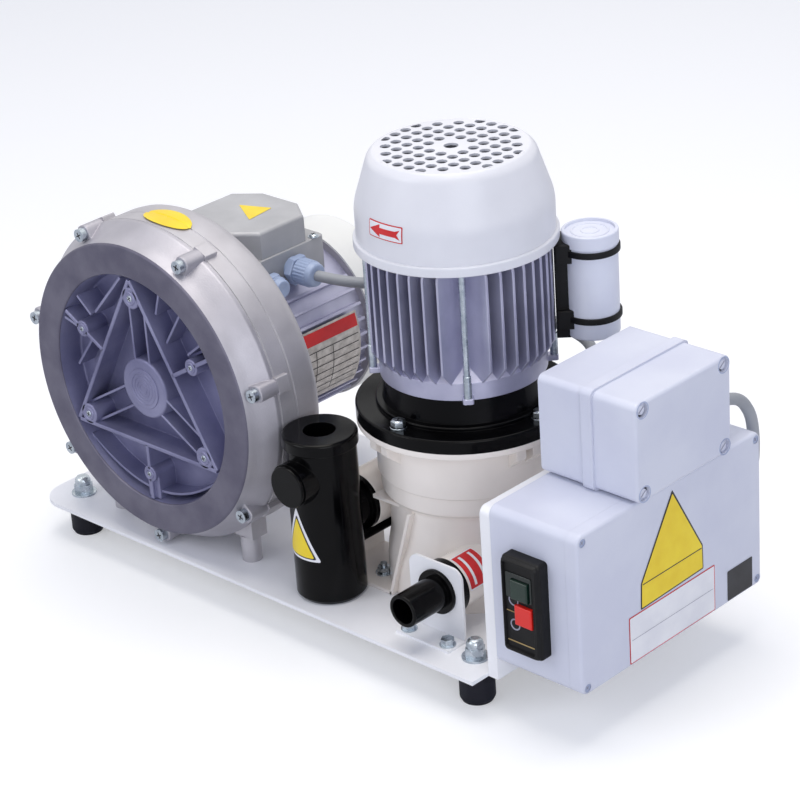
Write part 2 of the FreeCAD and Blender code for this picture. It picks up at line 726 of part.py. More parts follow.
def make_terminal_box():
    base = new_body("terminal_base_block", S.terminal_x, S.terminal_y)
    half_x, half_y = S.terminal_base_half_x, S.terminal_base_half_y
    padded(base, box_loop(-half_x, -half_y, half_x, half_y, 8), S.terminal_low,
           S.terminal_split - S.terminal_low)
    saddle = cylinder("terminal_saddle", S.core_radius + S.fit_gap, S.core_long + 40, S.blower_x,
                      S.parting_y + core_front - 20, S.blower_z, "back")
    node(cut("terminal_box_base", base, [saddle]))

    lid = new_body("terminal_box_lid", S.terminal_x, S.terminal_y)
    half_x, half_y = S.terminal_half_x, S.terminal_half_y
    flat_x, flat_y = half_x - S.terminal_cut_x, half_y - S.terminal_cut_y
    padded(lid, [
        (-half_x, -flat_y), (-flat_x, -half_y), (flat_x, -half_y), (half_x, -flat_y),
        (half_x, flat_y), (flat_x, half_y), (-flat_x, half_y), (-half_x, flat_y),
    ], S.terminal_split, S.terminal_top - S.terminal_split)
    rounded(lid, 3, at_level(2, S.terminal_top))
    node(lid)

    side = S.terminal_x + S.terminal_base_half_x
    gland = new_body("gland_large", side, S.gland_y, S.gland_z, "right")
    radius = S.gland_radius
    padded(gland, hexagon(radius), 0, 6)
    turned(gland, [
        (0, 6), (radius - 1, 6), (radius - 1, S.gland_long, 5), (0, S.gland_long),
    ])
    pocketed(gland, {"circles": [(0, 0, S.cable_radius + S.fit_gap)]}, 8, S.gland_long - 8)
    plug = new_body("gland_small", side, S.plug_y, S.gland_z, "right")
    turned(plug, [
        (0, 0), (S.plug_radius, 0), (S.plug_radius, S.plug_long, 1.5),
        (S.plug_radius - 3, S.plug_long), (S.plug_radius - 3, S.plug_long - 2.5),
        (0, S.plug_long - 2.5),
    ])
    node(together("terminal_glands", [gland, plug]))


def upright(name, z=0):
    return new_body(name, S.motor_x, S.motor_y, z)


def make_upright_motor():
    flange = upright("motor_flange")
    seat = S.bearing_outer + S.fit_gap
    opening = S.shaft_radius + 2
    seat_low = neck_top - S.bearing_wide
    turned(flange, [
        (opening, separator_top), (S.flange_radius, separator_top),
        (S.flange_radius, flange_top, 1.5), (S.step_radius, flange_top),
        (S.step_radius, step_top, 1), (S.neck_low_radius, step_top), (S.neck_radius, neck_top),
        (seat, neck_top), (seat, seat_low), (opening, seat_low),
    ])
    hole = pocketed(flange, {"circles": [
        (S.flange_bolt_circle, 0, S.screw_radius + S.fit_gap)]}, separator_top, S.flange_thick)
    around(flange, hole, 4)
    node(flange)

    housing = upright("motor_housing")
    turned(housing, [
        (S.frame_bore, neck_top), (S.frame_ring, neck_top), (S.frame_ring, frame_low - 1),
        (S.frame_radius, frame_low), (S.frame_radius, frame_top), (S.frame_bore, frame_top),
    ])
    fin = padded(housing, [
        (S.frame_radius - 2, frame_low + 1), (S.upright_fin_tip, frame_low + 1 + S.fin_point),
        (S.upright_fin_tip, frame_top), (S.frame_radius - 2, frame_top),
    ], 0, S.fin_thick, "XZ_Plane", True)
    half_pitch = 180 / SIZES["upright_fins"]
    fin.Profile[0].AttachmentOffset = Placement(Vector(), Rotation(Vector(0, 1, 0), half_pitch))
    around(housing, fin, S.upright_fins)
    spot = S.rod_circle
    ear = padded(housing, radial_bar(45, S.frame_ring - 3, spot + S.ear_radius * 0.8,
                                     S.ear_radius * 2), neck_top + 1, S.ear_tall)
    around(housing, ear, 4)
    hole = pocketed(housing, {"circles": [
        (turn_x(spot, 45), turn_y(spot, 45), S.rod_radius + S.fit_gap)]}, neck_top, S.ear_tall + 2)
    around(housing, hole, 4)
    node(housing)

    shield = upright("motor_end_shield")
    shield_top = frame_top + S.shield_thick
    bearing_low = shield_top - S.bearing_wide
    shield_out = S.hood_radius - S.hood_wall - S.fit_gap
    turned(shield, [
        (opening, bearing_low - 2), (S.shield_hub, bearing_low - 2), (S.shield_hub, frame_top),
        (shield_out, frame_top), (shield_out, shield_top), (seat, shield_top),
        (seat, bearing_low), (opening, bearing_low),
    ])
    hole = pocketed(shield, {"circles": [
        (turn_x(spot, 45), turn_y(spot, 45), S.rod_radius + S.fit_gap)]}, frame_top,
        S.shield_thick)
    around(shield, hole, 4)
    node(shield)

    rods = upright("tie_rods")
    foot = neck_top + 1
    rod = padded(rods, {"circles": [
        (turn_x(spot, 45), turn_y(spot, 45), S.rod_radius)]}, foot, shield_top - foot)
    around(rods, rod, 4)
    for level in (foot - S.rod_head_tall, shield_top):
        head = padded(rods, {"circles": [
            (turn_x(spot, 45), turn_y(spot, 45), S.rod_head)]}, level, S.rod_head_tall)
        around(rods, head, 4)
    node(rods)

    bolts = upright("flange_bolts")
    circle = S.flange_bolt_circle
    shank = padded(bolts, {"circles": [(circle, 0, S.screw_radius)]},
                   separator_top - S.mount_ring_thick + 1, S.flange_thick + S.mount_ring_thick - 1)
    around(bolts, shank, 4)
    washer = padded(bolts, {"circles": [(circle, 0, S.flange_bolt_head)]}, flange_top, 1)
    around(bolts, washer, 4)
    head = padded(bolts, hexagon(S.flange_bolt_head - 0.6, circle), flange_top + 1,
                  S.flange_bolt_tall)
    around(bolts, head, 4)
    node(bolts)

    stator_low = frame_low - 3
    stator = upright("motor_stator")
    outer = S.frame_bore - S.fit_gap
    turned(stator, box_loop(S.stator_inner, stator_low, outer, stator_low + S.stator_long))
    node(stator)

    rotor = upright("motor_rotor")
    core = S.stator_inner - S.air_gap
    tail = shield_top + S.fan_inset + S.fan_tall + 2
    turned(rotor, [
        (0, S.turbine_z), (S.shaft_radius, S.turbine_z), (S.shaft_radius, stator_low),
        (core, stator_low), (core, stator_low + S.stator_long),
        (S.shaft_radius, stator_low + S.stator_long), (S.shaft_radius, tail), (0, tail),
    ])
    node(rotor)
    bearing("motor_lower_bearing", S.motor_x, S.motor_y, seat_low, "up")
    bearing("motor_upper_bearing", S.motor_x, S.motor_y, bearing_low, "up")
    make_fan("motor_cooling_fan", S.motor_x, S.motor_y, shield_top + S.fan_inset, "up",
             S.upright_fan_radius)


def make_hood():
    """Fan hood with a perforated crown."""
    hood = upright("motor_hood")
    wall = S.hood_wall
    crown_low = hood_side_top + S.hood_cone
    turned(hood, [
        (S.hood_radius - wall, hood_low), (S.hood_bead, hood_low, 1), (S.hood_bead, hood_bead_top, 1),
        (S.hood_radius, hood_bead_top), (S.hood_radius, hood_side_top, 6),
        (S.hood_top_radius, crown_low, 8), (S.hood_top_radius * 0.8, hood_top, 6), (0, hood_top),
        (0, hood_top - wall), (S.hood_top_radius * 0.8 - 0.5, hood_top - wall, 5),
        (S.hood_top_radius - wall - 0.4, crown_low - 0.8, 6),
        (S.hood_radius - wall, hood_side_top - 0.5, 5),
    ])
    circles = []
    for column in range(-5, 5):
        for line in range(-5, 5):
            across, along = column + 0.5, line + 0.5
            distance = math.hypot(across, along)
            inside = distance * SIZES["grille_pitch"] <= SIZES["grille_reach"]
            if inside and distance > 1:
                circles.append((S.grille_pitch * across, S.grille_pitch * along, S.grille_hole))
    pocketed(hood, {"circles": circles}, hood_top - wall - 3, wall + 4)
    node(hood)


def make_capacitor():
    can = new_body("capacitor", S.can_x, S.can_y, S.can_low)
    tall, radius, rim = S.can_tall, S.can_radius, S.can_rim
    turned(can, [
        (0, 0), (radius, 0, 2), (radius, tall - S.can_cap_tall), (rim, tall - S.can_cap_tall),
        (rim, tall, 1), (rim - 2.5, tall), (rim - 2.5, tall - 2), (0, tall - 2),
    ])
    node(can)

    # two straps round the can and a plate between it and the motor
    straps = []
    inner = S.can_radius + S.fit_gap
    outer = inner + S.strap_thick
    for i, level in enumerate((S.strap_low, S.strap_high), 1):
        strap = new_body(f"strap_{i}", S.can_x, S.can_y, level)
        turned(strap, box_loop(inner, 0, outer, S.strap_wide))
        straps.append(strap)
    spread_x = S.can_x - S.motor_x
    spread_y = S.can_y - S.motor_y
    spread = square_root(spread_x * spread_x + spread_y * spread_y)
    heading = math.degrees(math.atan2(number(spread_y), number(spread_x)))
    plate = doc.addObject("Part::Box", "can_plate")
    reach = S.upright_fin_tip + S.fit_gap
    bind(plate, Length=spread - reach - S.can_radius * 0.8, Width=S.can_radius,
         Height=S.bracket_high - S.bracket_low)
    turn = Rotation(Vector(0, 0, 1), heading)
    half = S.can_radius / 2
    place(plate, S.motor_x + turn_x(reach, heading) + turn_y(half, heading),
          S.motor_y + turn_y(reach, heading) - turn_x(half, heading), S.bracket_low, turn)
    merged = fused("can_holder", straps + [plate])
    clear = cylinder("can_room", inner, S.can_tall * 2, S.can_x, S.can_y,
                     S.can_low - S.can_tall / 2)
    node(cut("capacitor_bracket", merged, [clear]))


def make_separator():
    upper = upright("separator_upper_housing")
    ring_low = separator_top - S.mount_ring_thick
    seam = plate_top + S.upper_seam
    wall = S.bowl_wall
    opening = S.shaft_radius + 2
    turned(upper, [
        (opening, separator_top), (S.mount_ring, separator_top), (S.mount_ring, ring_low, 1),
        (S.bowl_radius, ring_low), (S.bowl_radius, seam), (S.joint_radius, seam - 1),
        (S.joint_radius, plate_top + S.lower_seam), (S.joint_radius - wall, plate_top + S.lower_seam),
        (S.joint_radius - wall, separator_top - wall * 2), (opening, separator_top - wall * 2),
    ])
    rib = padded(upper, [
        (S.bowl_radius - 2, ring_low + 1), (S.mount_ring - 2, ring_low + 1),
        (S.mount_ring - 2, ring_low - 5), (S.bowl_radius - 2, ring_low - S.lug_rib_drop),
    ], 0, S.lug_rib_wide, "XZ_Plane", True)
    around(upper, rib, 8)
    hole = pocketed(upper, {"circles": [
        (S.flange_bolt_circle, 0, S.screw_radius + S.fit_gap)]}, ring_low, S.mount_ring_thick)
    around(upper, hole, 4)
    node(upper)

    well = upright("well_shell")
    turned(well, [
        (0, plate_top), (S.well_radius, plate_top), (S.well_radius, plate_top + S.lower_seam - 10, 4),
        (S.joint_radius, plate_top + S.lower_seam - 6), (S.joint_radius, plate_top + S.lower_seam),
        (0, plate_top + S.lower_seam),
    ])
    pipe = new_body("inlet_pipe", S.inlet_x, S.inlet_front, S.inlet_z, "back")
    run = S.inlet_back - S.inlet_front
    turned(pipe, [
        (0, 0), (S.inlet_pipe, 0), (S.inlet_pipe, run + S.inlet_pipe, S.inlet_pipe * 0.95),
        (0, run + S.inlet_pipe),
    ])
    keel = block("pipe_keel", S.rib_half * 2, S.inlet_back - S.rib_front,
                 S.inlet_z - S.rib_low, S.inlet_x - S.rib_half, S.rib_front, S.rib_low)
    drain = cylinder("drain_pipe", S.outlet_pipe, S.motor_y - S.outlet_pipe_front, S.outlet_x,
                     S.outlet_pipe_front, S.outlet_z, "back")
    shell = fused("well_outside", [well, pipe, keel, drain])
    room = cylinder("well_room", S.well_radius - wall, S.separator_tall, S.motor_x, S.motor_y,
                    plate_top + S.well_floor)
    inlet = cylinder("inlet_hole", S.inlet_bore, run, S.inlet_x, S.inlet_front, S.inlet_z, "back")
    outlet = cylinder("outlet_hole", S.outlet_bore, S.motor_y - S.outlet_pipe_front, S.outlet_x,
                      S.outlet_pipe_front, S.outlet_z, "back")
    node(cut("separator_lower_housing", shell, [room, inlet, outlet]))

    turbine = upright("separator_turbine")
    bore = S.shaft_radius + S.fit_gap
    low, high = S.turbine_z, S.turbine_z + S.turbine_tall
    turned(turbine, [
        (bore, low), (bore + 6, low), (bore + 6, high - 3), (S.turbine_radius, high - 3),
        (S.turbine_radius, high), (bore, high),
    ])
    blade = padded(turbine, [
        (bore + 5, low), (S.turbine_radius * 0.7, low), (S.turbine_radius, high - 3),
        (S.turbine_radius, high - 2), (bore + 5, high - 2),
    ], 0, S.vane_thick, "XZ_Plane", True)
    around(turbine, blade, S.turbine_blades)
    node(turbine)


def make_leg():
    """Foot of the inlet pipe: a flange on the plate and a web that cradles the pipe."""
    reach = square_root(S.well_radius * S.well_radius - 30 * 30)
    flange = block("leg_flange_sheet", S.motor_x - reach - S.leg_x, S.leg_back - S.leg_front,
                   S.leg_flange, S.leg_x, S.leg_front, plate_top)
    web = block("leg_web_sheet", S.leg_web, S.leg_back - S.leg_front - 12,
                S.inlet_z - plate_top, S.leg_x, S.leg_front + 12, plate_top)
    pipe_room = cylinder("leg_pipe_room", S.inlet_pipe + S.fit_gap, 120, S.inlet_x,
                         S.leg_front - 10, S.inlet_z, "back")
    well_room = cylinder("leg_well_room", S.well_radius + S.fit_gap, S.separator_tall, S.motor_x,
                         S.motor_y, S.foot_height)
    trap_room = cylinder("leg_trap_room", S.trap_radius + S.fit_gap, 60, S.trap_x, S.trap_y,
                         S.foot_height)
    nut_hole = cylinder("leg_nut_hole", S.screw_radius + S.fit_gap, S.separator_tall, S.leg_nut_x,
                        S.leg_nut_y, S.foot_height)
    outside = fused("leg_outside", [flange, web])
    node(cut("separator_leg", outside, [pipe_room, well_room, trap_room, nut_hole]))

    nut = new_body("separator_leg_nut", S.leg_nut_x, S.leg_nut_y, plate_top)
    turned(nut, box_loop(0, S.leg_flange, S.hex_radius + 1.5, S.leg_flange + 1))
    padded(nut, hexagon(S.hex_radius), S.leg_flange, S.hex_tall + 1)
    padded(nut, {"circles": [(0, 0, S.screw_radius)]}, 0, S.leg_flange + S.hex_tall + 4)
    node(nut)


def make_trap():
    """Upright inlet trap with a mouth on top, a front port and a back union."""
    outside = new_body("trap_outside", S.trap_x, S.trap_y, plate_top)
    tall, wall = S.trap_tall, S.trap_wall
    inner = S.trap_radius - wall
    turned(outside, [
        (0, 0), (S.trap_radius - 2.5, 0), (S.trap_radius, 3), (S.trap_radius, tall - S.collar_tall),
        (S.collar_radius, tall - S.collar_tall, 1), (S.collar_radius, tall, 2.5), (0, tall),
    ])
    front = cylinder("port_neck", S.port_radius, S.trap_y - S.port_front, S.trap_x, S.port_front,
                     S.port_z, "back")
    back = cylinder("union_neck", S.port_radius, S.union_front - S.trap_y, S.trap_x, S.trap_y,
                    S.inlet_z, "back")
    shell = fused("trap_shell", [outside, front, back])
    room = cylinder("trap_room", inner, tall - wall * 2 - S.collar_tall, S.trap_x, S.trap_y,
                    plate_top + wall)
    mouth = cylinder("trap_mouth_hole", S.trap_mouth, tall, S.trap_x, S.trap_y,
                     plate_top + tall / 2)
    port = cylinder("port_hole", S.port_bore, S.trap_y - S.port_front, S.trap_x, S.port_front,
                    S.port_z, "back")
    exit_hole = cylinder("union_hole", S.union_bore, S.union_front - S.trap_y, S.trap_x, S.trap_y,
                         S.inlet_z, "back")
    node(cut("inlet_trap", shell, [room, mouth, port, exit_hole]))

    plug = new_body("inlet_port_plug", S.trap_x, S.port_front, S.port_z, "front")
    bore = S.port_bore - S.fit_gap
    turned(plug, [
        (0, -S.plug_reach), (bore, -S.plug_reach), (bore, 0), (S.port_radius - 1, 0),
        (S.port_radius - 1, S.port_lip, 1), (0, S.port_lip),
    ])
    node(plug)

    union = new_body("inlet_union", S.inlet_x, S.union_front, S.inlet_z, "back")
    gap = S.inlet_front - S.union_front
    turned(union, [
        (S.union_bore, 0), (S.union_sleeve, 0), (S.union_sleeve, gap - S.union_thick),
        (S.union_radius, gap - S.union_thick), (S.union_radius, gap), (S.union_sleeve, gap),
        (S.union_sleeve, gap + S.union_reach), (S.union_bore, gap + S.union_reach),
    ])
    node(union)

    reach = S.trap_radius - 4
    stub = new_body("stub_rod", S.stub_x, S.trap_y + reach, S.stub_z, "back")
    long = S.rib_front - S.trap_y - reach
    turned(stub, [(0, 0), (S.stub_radius, 0), (S.stub_radius, long, 3), (0, long)])
    stub_room = cylinder("stub_room", S.trap_radius + S.fit_gap, tall, S.trap_x, S.trap_y,
                         plate_top)
    node(cut("drain_stub", stub, [stub_room]))


def make_outlet():
    spigot = new_body("outlet_spigot", S.outlet_x, S.bracket_y, S.outlet_z, "front")
    long = S.bracket_y - S.spigot_mouth
    neck = S.spigot_swell - 2.5
    turned(spigot, [
        (S.spigot_bore, -S.bracket_sheet - 8), (neck - 0.5, -S.bracket_sheet - 8), (neck - 0.5, 0),
        (S.spigot_swell, 0, 1), (S.spigot_swell, S.swell_long, 3),
        (S.spigot_radius, S.swell_long + 4), (S.spigot_radius, long, 1.5), (S.spigot_bore, long),
    ])
    node(spigot)

    bracket = new_body("bracket_sheet_body")
    half = S.bracket_wide / 2
    left, right = S.bracket_x - half, S.bracket_x + half
    high = plate_top + S.bracket_tall
    corner = S.bracket_corner
    padded(bracket, [
        (left, plate_top), (right, plate_top), (right, high, corner), (left, high, corner),
    ], -S.bracket_y - S.bracket_sheet, S.bracket_sheet, "XZ_Plane")
    padded(bracket, box_loop(left, S.bracket_y - S.bracket_foot, right, S.bracket_y),
           plate_top, S.bracket_sheet)
    hole = cylinder("bracket_hole", neck, 3 * S.bracket_sheet, S.outlet_x,
                    S.bracket_y - S.bracket_sheet, S.outlet_z, "back")
    left_bolt = S.bracket_x - half + S.bracket_bolt_inset
    right_bolt = S.bracket_x + half - S.bracket_bolt_inset
    bolt_y = S.bracket_y - S.bracket_bolt_out
    holes = [hole]
    bolts = []
    for i, x in enumerate((left_bolt, right_bolt), 1):
        holes.append(cylinder(f"bracket_bolt_hole_{i}", S.screw_radius + S.fit_gap,
                              4 * S.bracket_sheet, x, bolt_y, plate_top - S.bracket_sheet))
        bolt = new_body(f"bracket_bolt_{i}", x, bolt_y, plate_top)
        top = S.bracket_sheet
        padded(bolt, {"circles": [(0, 0, S.screw_radius)]}, 0, top + 1)
        padded(bolt, {"circles": [(0, 0, S.hex_radius + 1)]}, top, 1)
        padded(bolt, hexagon(S.hex_radius), top + 1, S.hex_tall)
        bolts.append(bolt)
    node(cut("outlet_bracket", bracket, holes))
    node(together("bracket_screws", bolts))

    cuff = new_body("outlet_cuff", S.outlet_x, S.bracket_y + S.bracket_sheet, S.outlet_z, "back")
    long = S.outlet_pipe_front - S.bracket_y - S.bracket_sheet
    turned(cuff, [(neck - 0.4, 0), (S.cuff_radius, 0, 1), (S.cuff_radius, long, 1), (neck - 0.4, long)])
    node(cuff)


def make_control_box():
    wall, corner = S.box_wall, S.box_corner
    half = S.box_width / 2
    low, high = S.box_low, box_high
    column = S.box_column
    inner = box_loop(-half + wall, low + wall, half - wall, high - wall, column)
    inset = S.box_screw_inset
    places = [(side * (half - inset), level) for side in (-1, 1)
              for level in (low + inset, high - inset)]
    base = new_body("control_base_shell", S.box_x)
    padded(base, box_loop(-half, low, half, high, corner), 0, S.box_base, "YZ_Plane")
    pocketed(base, inner, wall, S.box_base - wall, "YZ_Plane")
    cores = {"circles": [(y, z, S.lid_screw_core + S.fit_gap) for y, z in places]}
    pocketed(base, cores, S.box_base - 14, 14, "YZ_Plane")
    margin = S.contactor_inset
    window = block("switch_window", S.switch_wide - 2 * margin, wall * 3,
                   S.switch_tall - 2 * margin, S.switch_x + margin, box_front - wall,
                   S.switch_low + margin)
    node(cut("control_box_base", base, [window]))

    lid_deep = S.box_depth - S.box_base
    lid = new_body("control_box_lid", S.box_x + S.box_base)
    padded(lid, box_loop(-half, low, half, high, corner), 0, lid_deep, "YZ_Plane")
    pocketed(lid, inner, 0, lid_deep - wall, "YZ_Plane")
    rounded(lid, S.box_edge, at_level(0, lid_deep))
    pocketed(lid, cores, 0, lid_deep, "YZ_Plane")
    seats = {"circles": [(y, z, S.lid_screw + S.fit_gap) for y, z in places]}
    pocketed(lid, seats, lid_deep - 2, 2, "YZ_Plane")
    node(lid)
    node(lid_screws("control_box_screws", S.box_x + S.box_depth, 0, places, 2))

    # switch plate with two square wells, in front of the contactor
    left, right = S.switch_x, S.switch_x + S.switch_wide
    bottom, top = S.switch_low, S.switch_low + S.switch_tall
    plate = new_body("switch_plate", 0, box_front)
    padded(plate, box_loop(left, bottom, right, top, 3), 0, S.switch_out, "XZ_Plane")
    rounded(plate, S.switch_slope * 0.6, at_level(1, -S.switch_out))
    wells = []
    for name, x, z in (("start", S.start_x, S.start_z), ("stop", S.stop_x, S.stop_z)):
        side = S.button_side + 2 * S.button_gap
        wells.append(block(f"{name}_well", side, S.switch_out * 2, side, x - side / 2,
                           box_front - S.switch_out * 1.5, z - side / 2))
    node(cut("switch_plate_body", plate, wells))

    contactor = new_body("contactor", 0, box_front)
    padded(contactor, box_loop(left + margin, bottom + margin, right - margin, top - margin),
           -S.contactor_deep, S.contactor_deep - S.fit_gap, "XZ_Plane")
    node(contactor)

    for name, x, z in (("start_button", S.start_x, S.start_z), ("stop_button", S.stop_x, S.stop_z)):
        half_side = S.button_side / 2
        button = new_body(name, 0, box_front)
        long = S.switch_out + S.button_proud - S.button_rest
        padded(button, box_loop(x - half_side, z - half_side, x + half_side, z + half_side),
               S.button_rest, long, "XZ_Plane")
        rounded(button, 1.2, at_level(1, -(S.switch_out + S.button_proud)))
        node(button)


def lid_screws(name, x, y, places, sunk):
    """Screws along X with their heads sunk in a lid's face."""
    screws = new_body(name, x, y)
    heads = {"circles": [(across, up, S.lid_screw) for across, up in places]}
    cores = {"circles": [(across, up, S.lid_screw_core) for across, up in places]}
    padded(screws, heads, -sunk, sunk - 0.4, "YZ_Plane")
    padded(screws, cores, -S.lid_screw_long, S.lid_screw_long - sunk + 0.5, "YZ_Plane")
    return screws


def make_junction_box():
    half = S.top_box_width / 2
    low, high = box_high, box_high + S.top_box_tall
    inset, corner = S.top_inset, S.top_corner
    wall = S.box_wall
    depth = S.top_box_depth - S.top_box_base
    outline = box_loop(-half + inset, low + inset, half - inset, high - inset, corner)
    room = box_loop(-half + wall * 2, low + wall * 2, half - wall * 2, high - wall * 2, 12)
    places = [(side * (half - S.top_screw_inset_y), level) for side in (-1, 1)
              for level in (low + S.top_screw_inset_z, high - S.top_screw_inset_z)]
    cores = {"circles": [(y, z, S.lid_screw_core + S.fit_gap) for y, z in places]}

    base = new_body("junction_box_base", S.top_box_x, S.top_box_y)
    padded(base, outline, 0, S.top_box_base, "YZ_Plane")
    pocketed(base, room, wall, S.top_box_base - wall, "YZ_Plane")
    node(base)

    lid = new_body("junction_box_lid", S.top_box_x + S.top_box_base, S.top_box_y)
    padded(lid, box_loop(-half, low, half, high, corner), 0, S.top_band, "YZ_Plane")
    padded(lid, outline, 0, depth, "YZ_Plane")
    rounded(lid, 2.5, at_level(0, depth))
    pocketed(lid, room, 0, depth - wall, "YZ_Plane")
    recess = {"circles": [(y, z, S.top_screw_recess) for y, z in places]}
    pocketed(lid, recess, depth - S.top_recess_deep, S.top_recess_deep, "YZ_Plane")
    pocketed(lid, cores, 0, depth, "YZ_Plane")
    node(lid)
    node(lid_screws("junction_box_screws", S.top_box_x + S.top_box_depth - 1, S.top_box_y, places,
                    2))


def box_gland(name, x, y, z, facing):
    """Round cable entry on a box wall."""
    gland = new_body(name, x, y, z, facing)
    bore = S.loop_radius + S.fit_gap
    long = S.box_gland_long
    turned(gland, [(bore, 0), (S.box_gland, 0), (S.box_gland, long, 2), (bore, long)])
    return gland


def cable(name, points, radius):
    """Round cable along straight runs joined by tangent arcs, as large as the runs allow."""
    spots = [Vector(*point) for point in points]
    runs = [(b - a).Length for a, b in zip(spots, spots[1:])]
    edges = []
    here = spots[0]
    radii = []
    for i in range(1, len(spots) - 1):
        to_before = (spots[i - 1] - spots[i]).normalize()
        to_after = (spots[i + 1] - spots[i]).normalize()
        trim = 0.45 * min(runs[i - 1], runs[i])
        half_turn = (math.pi - to_before.getAngle(to_after)) / 2
        radii.append(trim / math.tan(half_turn))
        start, end = spots[i] + to_before * trim, spots[i] + to_after * trim
        bisector = (to_before + to_after).normalize()
        bulge = radii[-1] / math.cos(half_turn) - radii[-1]
        edges.append(Part.LineSegment(here, start).toShape())
        edges.append(Part.Arc(start, spots[i] + bisector * bulge, end).toShape())
        here = end
    edges.append(Part.LineSegment(here, spots[-1]).toShape())
    path = Part.Wire(edges)
    ring = Part.Wire([Part.makeCircle(number(radius), spots[0], spots[1] - spots[0])])
    item = doc.addObject("Part::Feature", name)
    item.Shape = path.makePipeShell([ring], True, False)
    print(name, "length", round(path.Length, 1), "bend radii", [round(r, 1) for r in radii],
          "volume ratio", round(item.Shape.Volume / (math.pi * number(radius) ** 2 * path.Length), 4))
    return item


def make_cables():
    gland_face = number(S.terminal_x + S.terminal_base_half_x + 8)
    box_wall_x = number(S.top_box_x - S.box_gland_long)
    node(cable("motor_cable", [
        (gland_face, 16, 228), (-68, 16, 228), (-44, 28, 225), (-24, 56, 219), (0, 86, 211),
        (38, 103, 203), (82, 106, 198), (124, 97, 196), (150, 72, 196), (box_wall_x - 20, 38, 196),
        (box_wall_x + 8, 38, 196),
    ], S.cable_radius))
    top_back = number(S.top_box_y + S.top_box_width / 2 - S.top_inset)
    box_back = number(S.box_width / 2)
    loop_x = number(S.loop_x)
    node(cable("box_cable", [
        (loop_x, top_back, number(S.loop_high)), (loop_x, 82, 192), (loop_x, 101, 185),
        (loop_x, 113, 168), (loop_x, 116, 148), (loop_x, 115, 130), (loop_x, 109, 120),
        (loop_x, box_back, 120),
    ], S.loop_radius - S.fit_gap))
    entries = [
        box_gland("motor_entry", S.top_box_x, S.motor_gland_y, S.motor_gland_z, "left"),
        box_gland("loop_entry", S.loop_x, S.top_box_y + S.top_box_width / 2 - S.top_inset,
                  S.loop_high, "back"),
    ]
    node(together("box_glands", entries))


make_chassis()
make_feet()
make_blower_cover()
make_blower_housing()
make_cover_screws()
make_impeller()
make_blower_motor()
make_terminal_box()
make_upright_motor()
make_hood()
make_capacitor()
make_separator()
make_leg()
make_trap()
make_outlet()
make_control_box()
make_junction_box()
make_cables()
doc.recompute()

for item in doc.Objects:
    if "Invalid" in item.State or "Error" in item.State:
        raise RuntimeError(f"{item.Label} failed: {item.State}")
for item in nodes:
    if item.Shape.isNull() or not item.Shape.isValid():
        raise RuntimeError(f"{item.Label} has no valid shape")

os.makedirs("parts", exist_ok=True)
for item in nodes:
    item.Shape.exportStep(f"parts/{item.Label}.step")
print(len(nodes), "sub-parts")
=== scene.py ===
"""Looks of the dental suction unit: finishes, finer castings and shells, trim and films."""
import math

import bmesh
import bpy
from mathutils import Matrix, Vector
from mathutils.bvhtree import BVHTree
from mathutils.geometry import delaunay_2d_cdt


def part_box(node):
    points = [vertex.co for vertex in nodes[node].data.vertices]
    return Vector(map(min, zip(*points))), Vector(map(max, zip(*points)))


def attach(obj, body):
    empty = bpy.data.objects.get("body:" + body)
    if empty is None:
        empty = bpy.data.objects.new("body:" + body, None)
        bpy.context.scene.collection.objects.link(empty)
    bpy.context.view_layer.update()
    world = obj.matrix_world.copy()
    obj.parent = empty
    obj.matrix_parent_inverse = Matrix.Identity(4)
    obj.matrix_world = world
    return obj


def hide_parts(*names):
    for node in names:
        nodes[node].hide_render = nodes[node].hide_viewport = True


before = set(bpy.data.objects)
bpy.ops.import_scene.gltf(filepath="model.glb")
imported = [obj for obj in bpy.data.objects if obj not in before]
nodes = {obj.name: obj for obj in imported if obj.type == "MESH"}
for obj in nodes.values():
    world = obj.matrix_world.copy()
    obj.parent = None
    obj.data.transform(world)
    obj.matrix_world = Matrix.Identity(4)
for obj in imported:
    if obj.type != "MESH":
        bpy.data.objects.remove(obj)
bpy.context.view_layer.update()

MM = 0.001
scene = bpy.context.scene


# Main places of the unit, in millimetres

BLOWER_X, BLOWER_Z = -137.5, 165
PARTING_Y = -91
HUB_RISE = 20.8
LUGS = 7
LUG_CIRCLE = 124
BOSS_CIRCLE, SMALL_BOSS_CIRCLE = 75, 70
MOTOR_X, MOTOR_Y = 85.5, 3
ROD_CIRCLE = 65
HOOD_PITCH, HOOD_HOLE = 10.7, 3.85
PLATE_TOP = 33
FLANGE_TOP, FLANGE_BOLT_CIRCLE = 180, 70.5
CHEEK_TURN = -103
INLET_X, INLET_Z = 17.5, 92
OUTLET_X, OUTLET_Z = 127, 68
TERMINAL_X, TERMINAL_Y = -141.5, 10
CAN_X, CAN_Y = 155.5, 65
PLATE_RADIUS = 68.3
LOWER_BOX_SCREWS_Y, LOWER_BOX_SCREWS_Z = (-94.5, 94.5), (49.5, 160.5)
UPPER_BOX_SCREWS_Y, UPPER_BOX_SCREWS_Z = (-34, 53.5), (173, 235)


# Camera: place and axes solved from the straight edges of the boxes in the photograph

CAMERA_AT = Vector((1.31445, -1.28872, 1.02171))
CAMERA_RIGHT = Vector((0.72550, 0.68525, -0.06388))
CAMERA_UP = Vector((-0.25259, 0.35147, 0.90148))
CAMERA_BACK = Vector((0.64019, -0.63789, 0.42808))
LENS = 123.04
SENSOR = 36


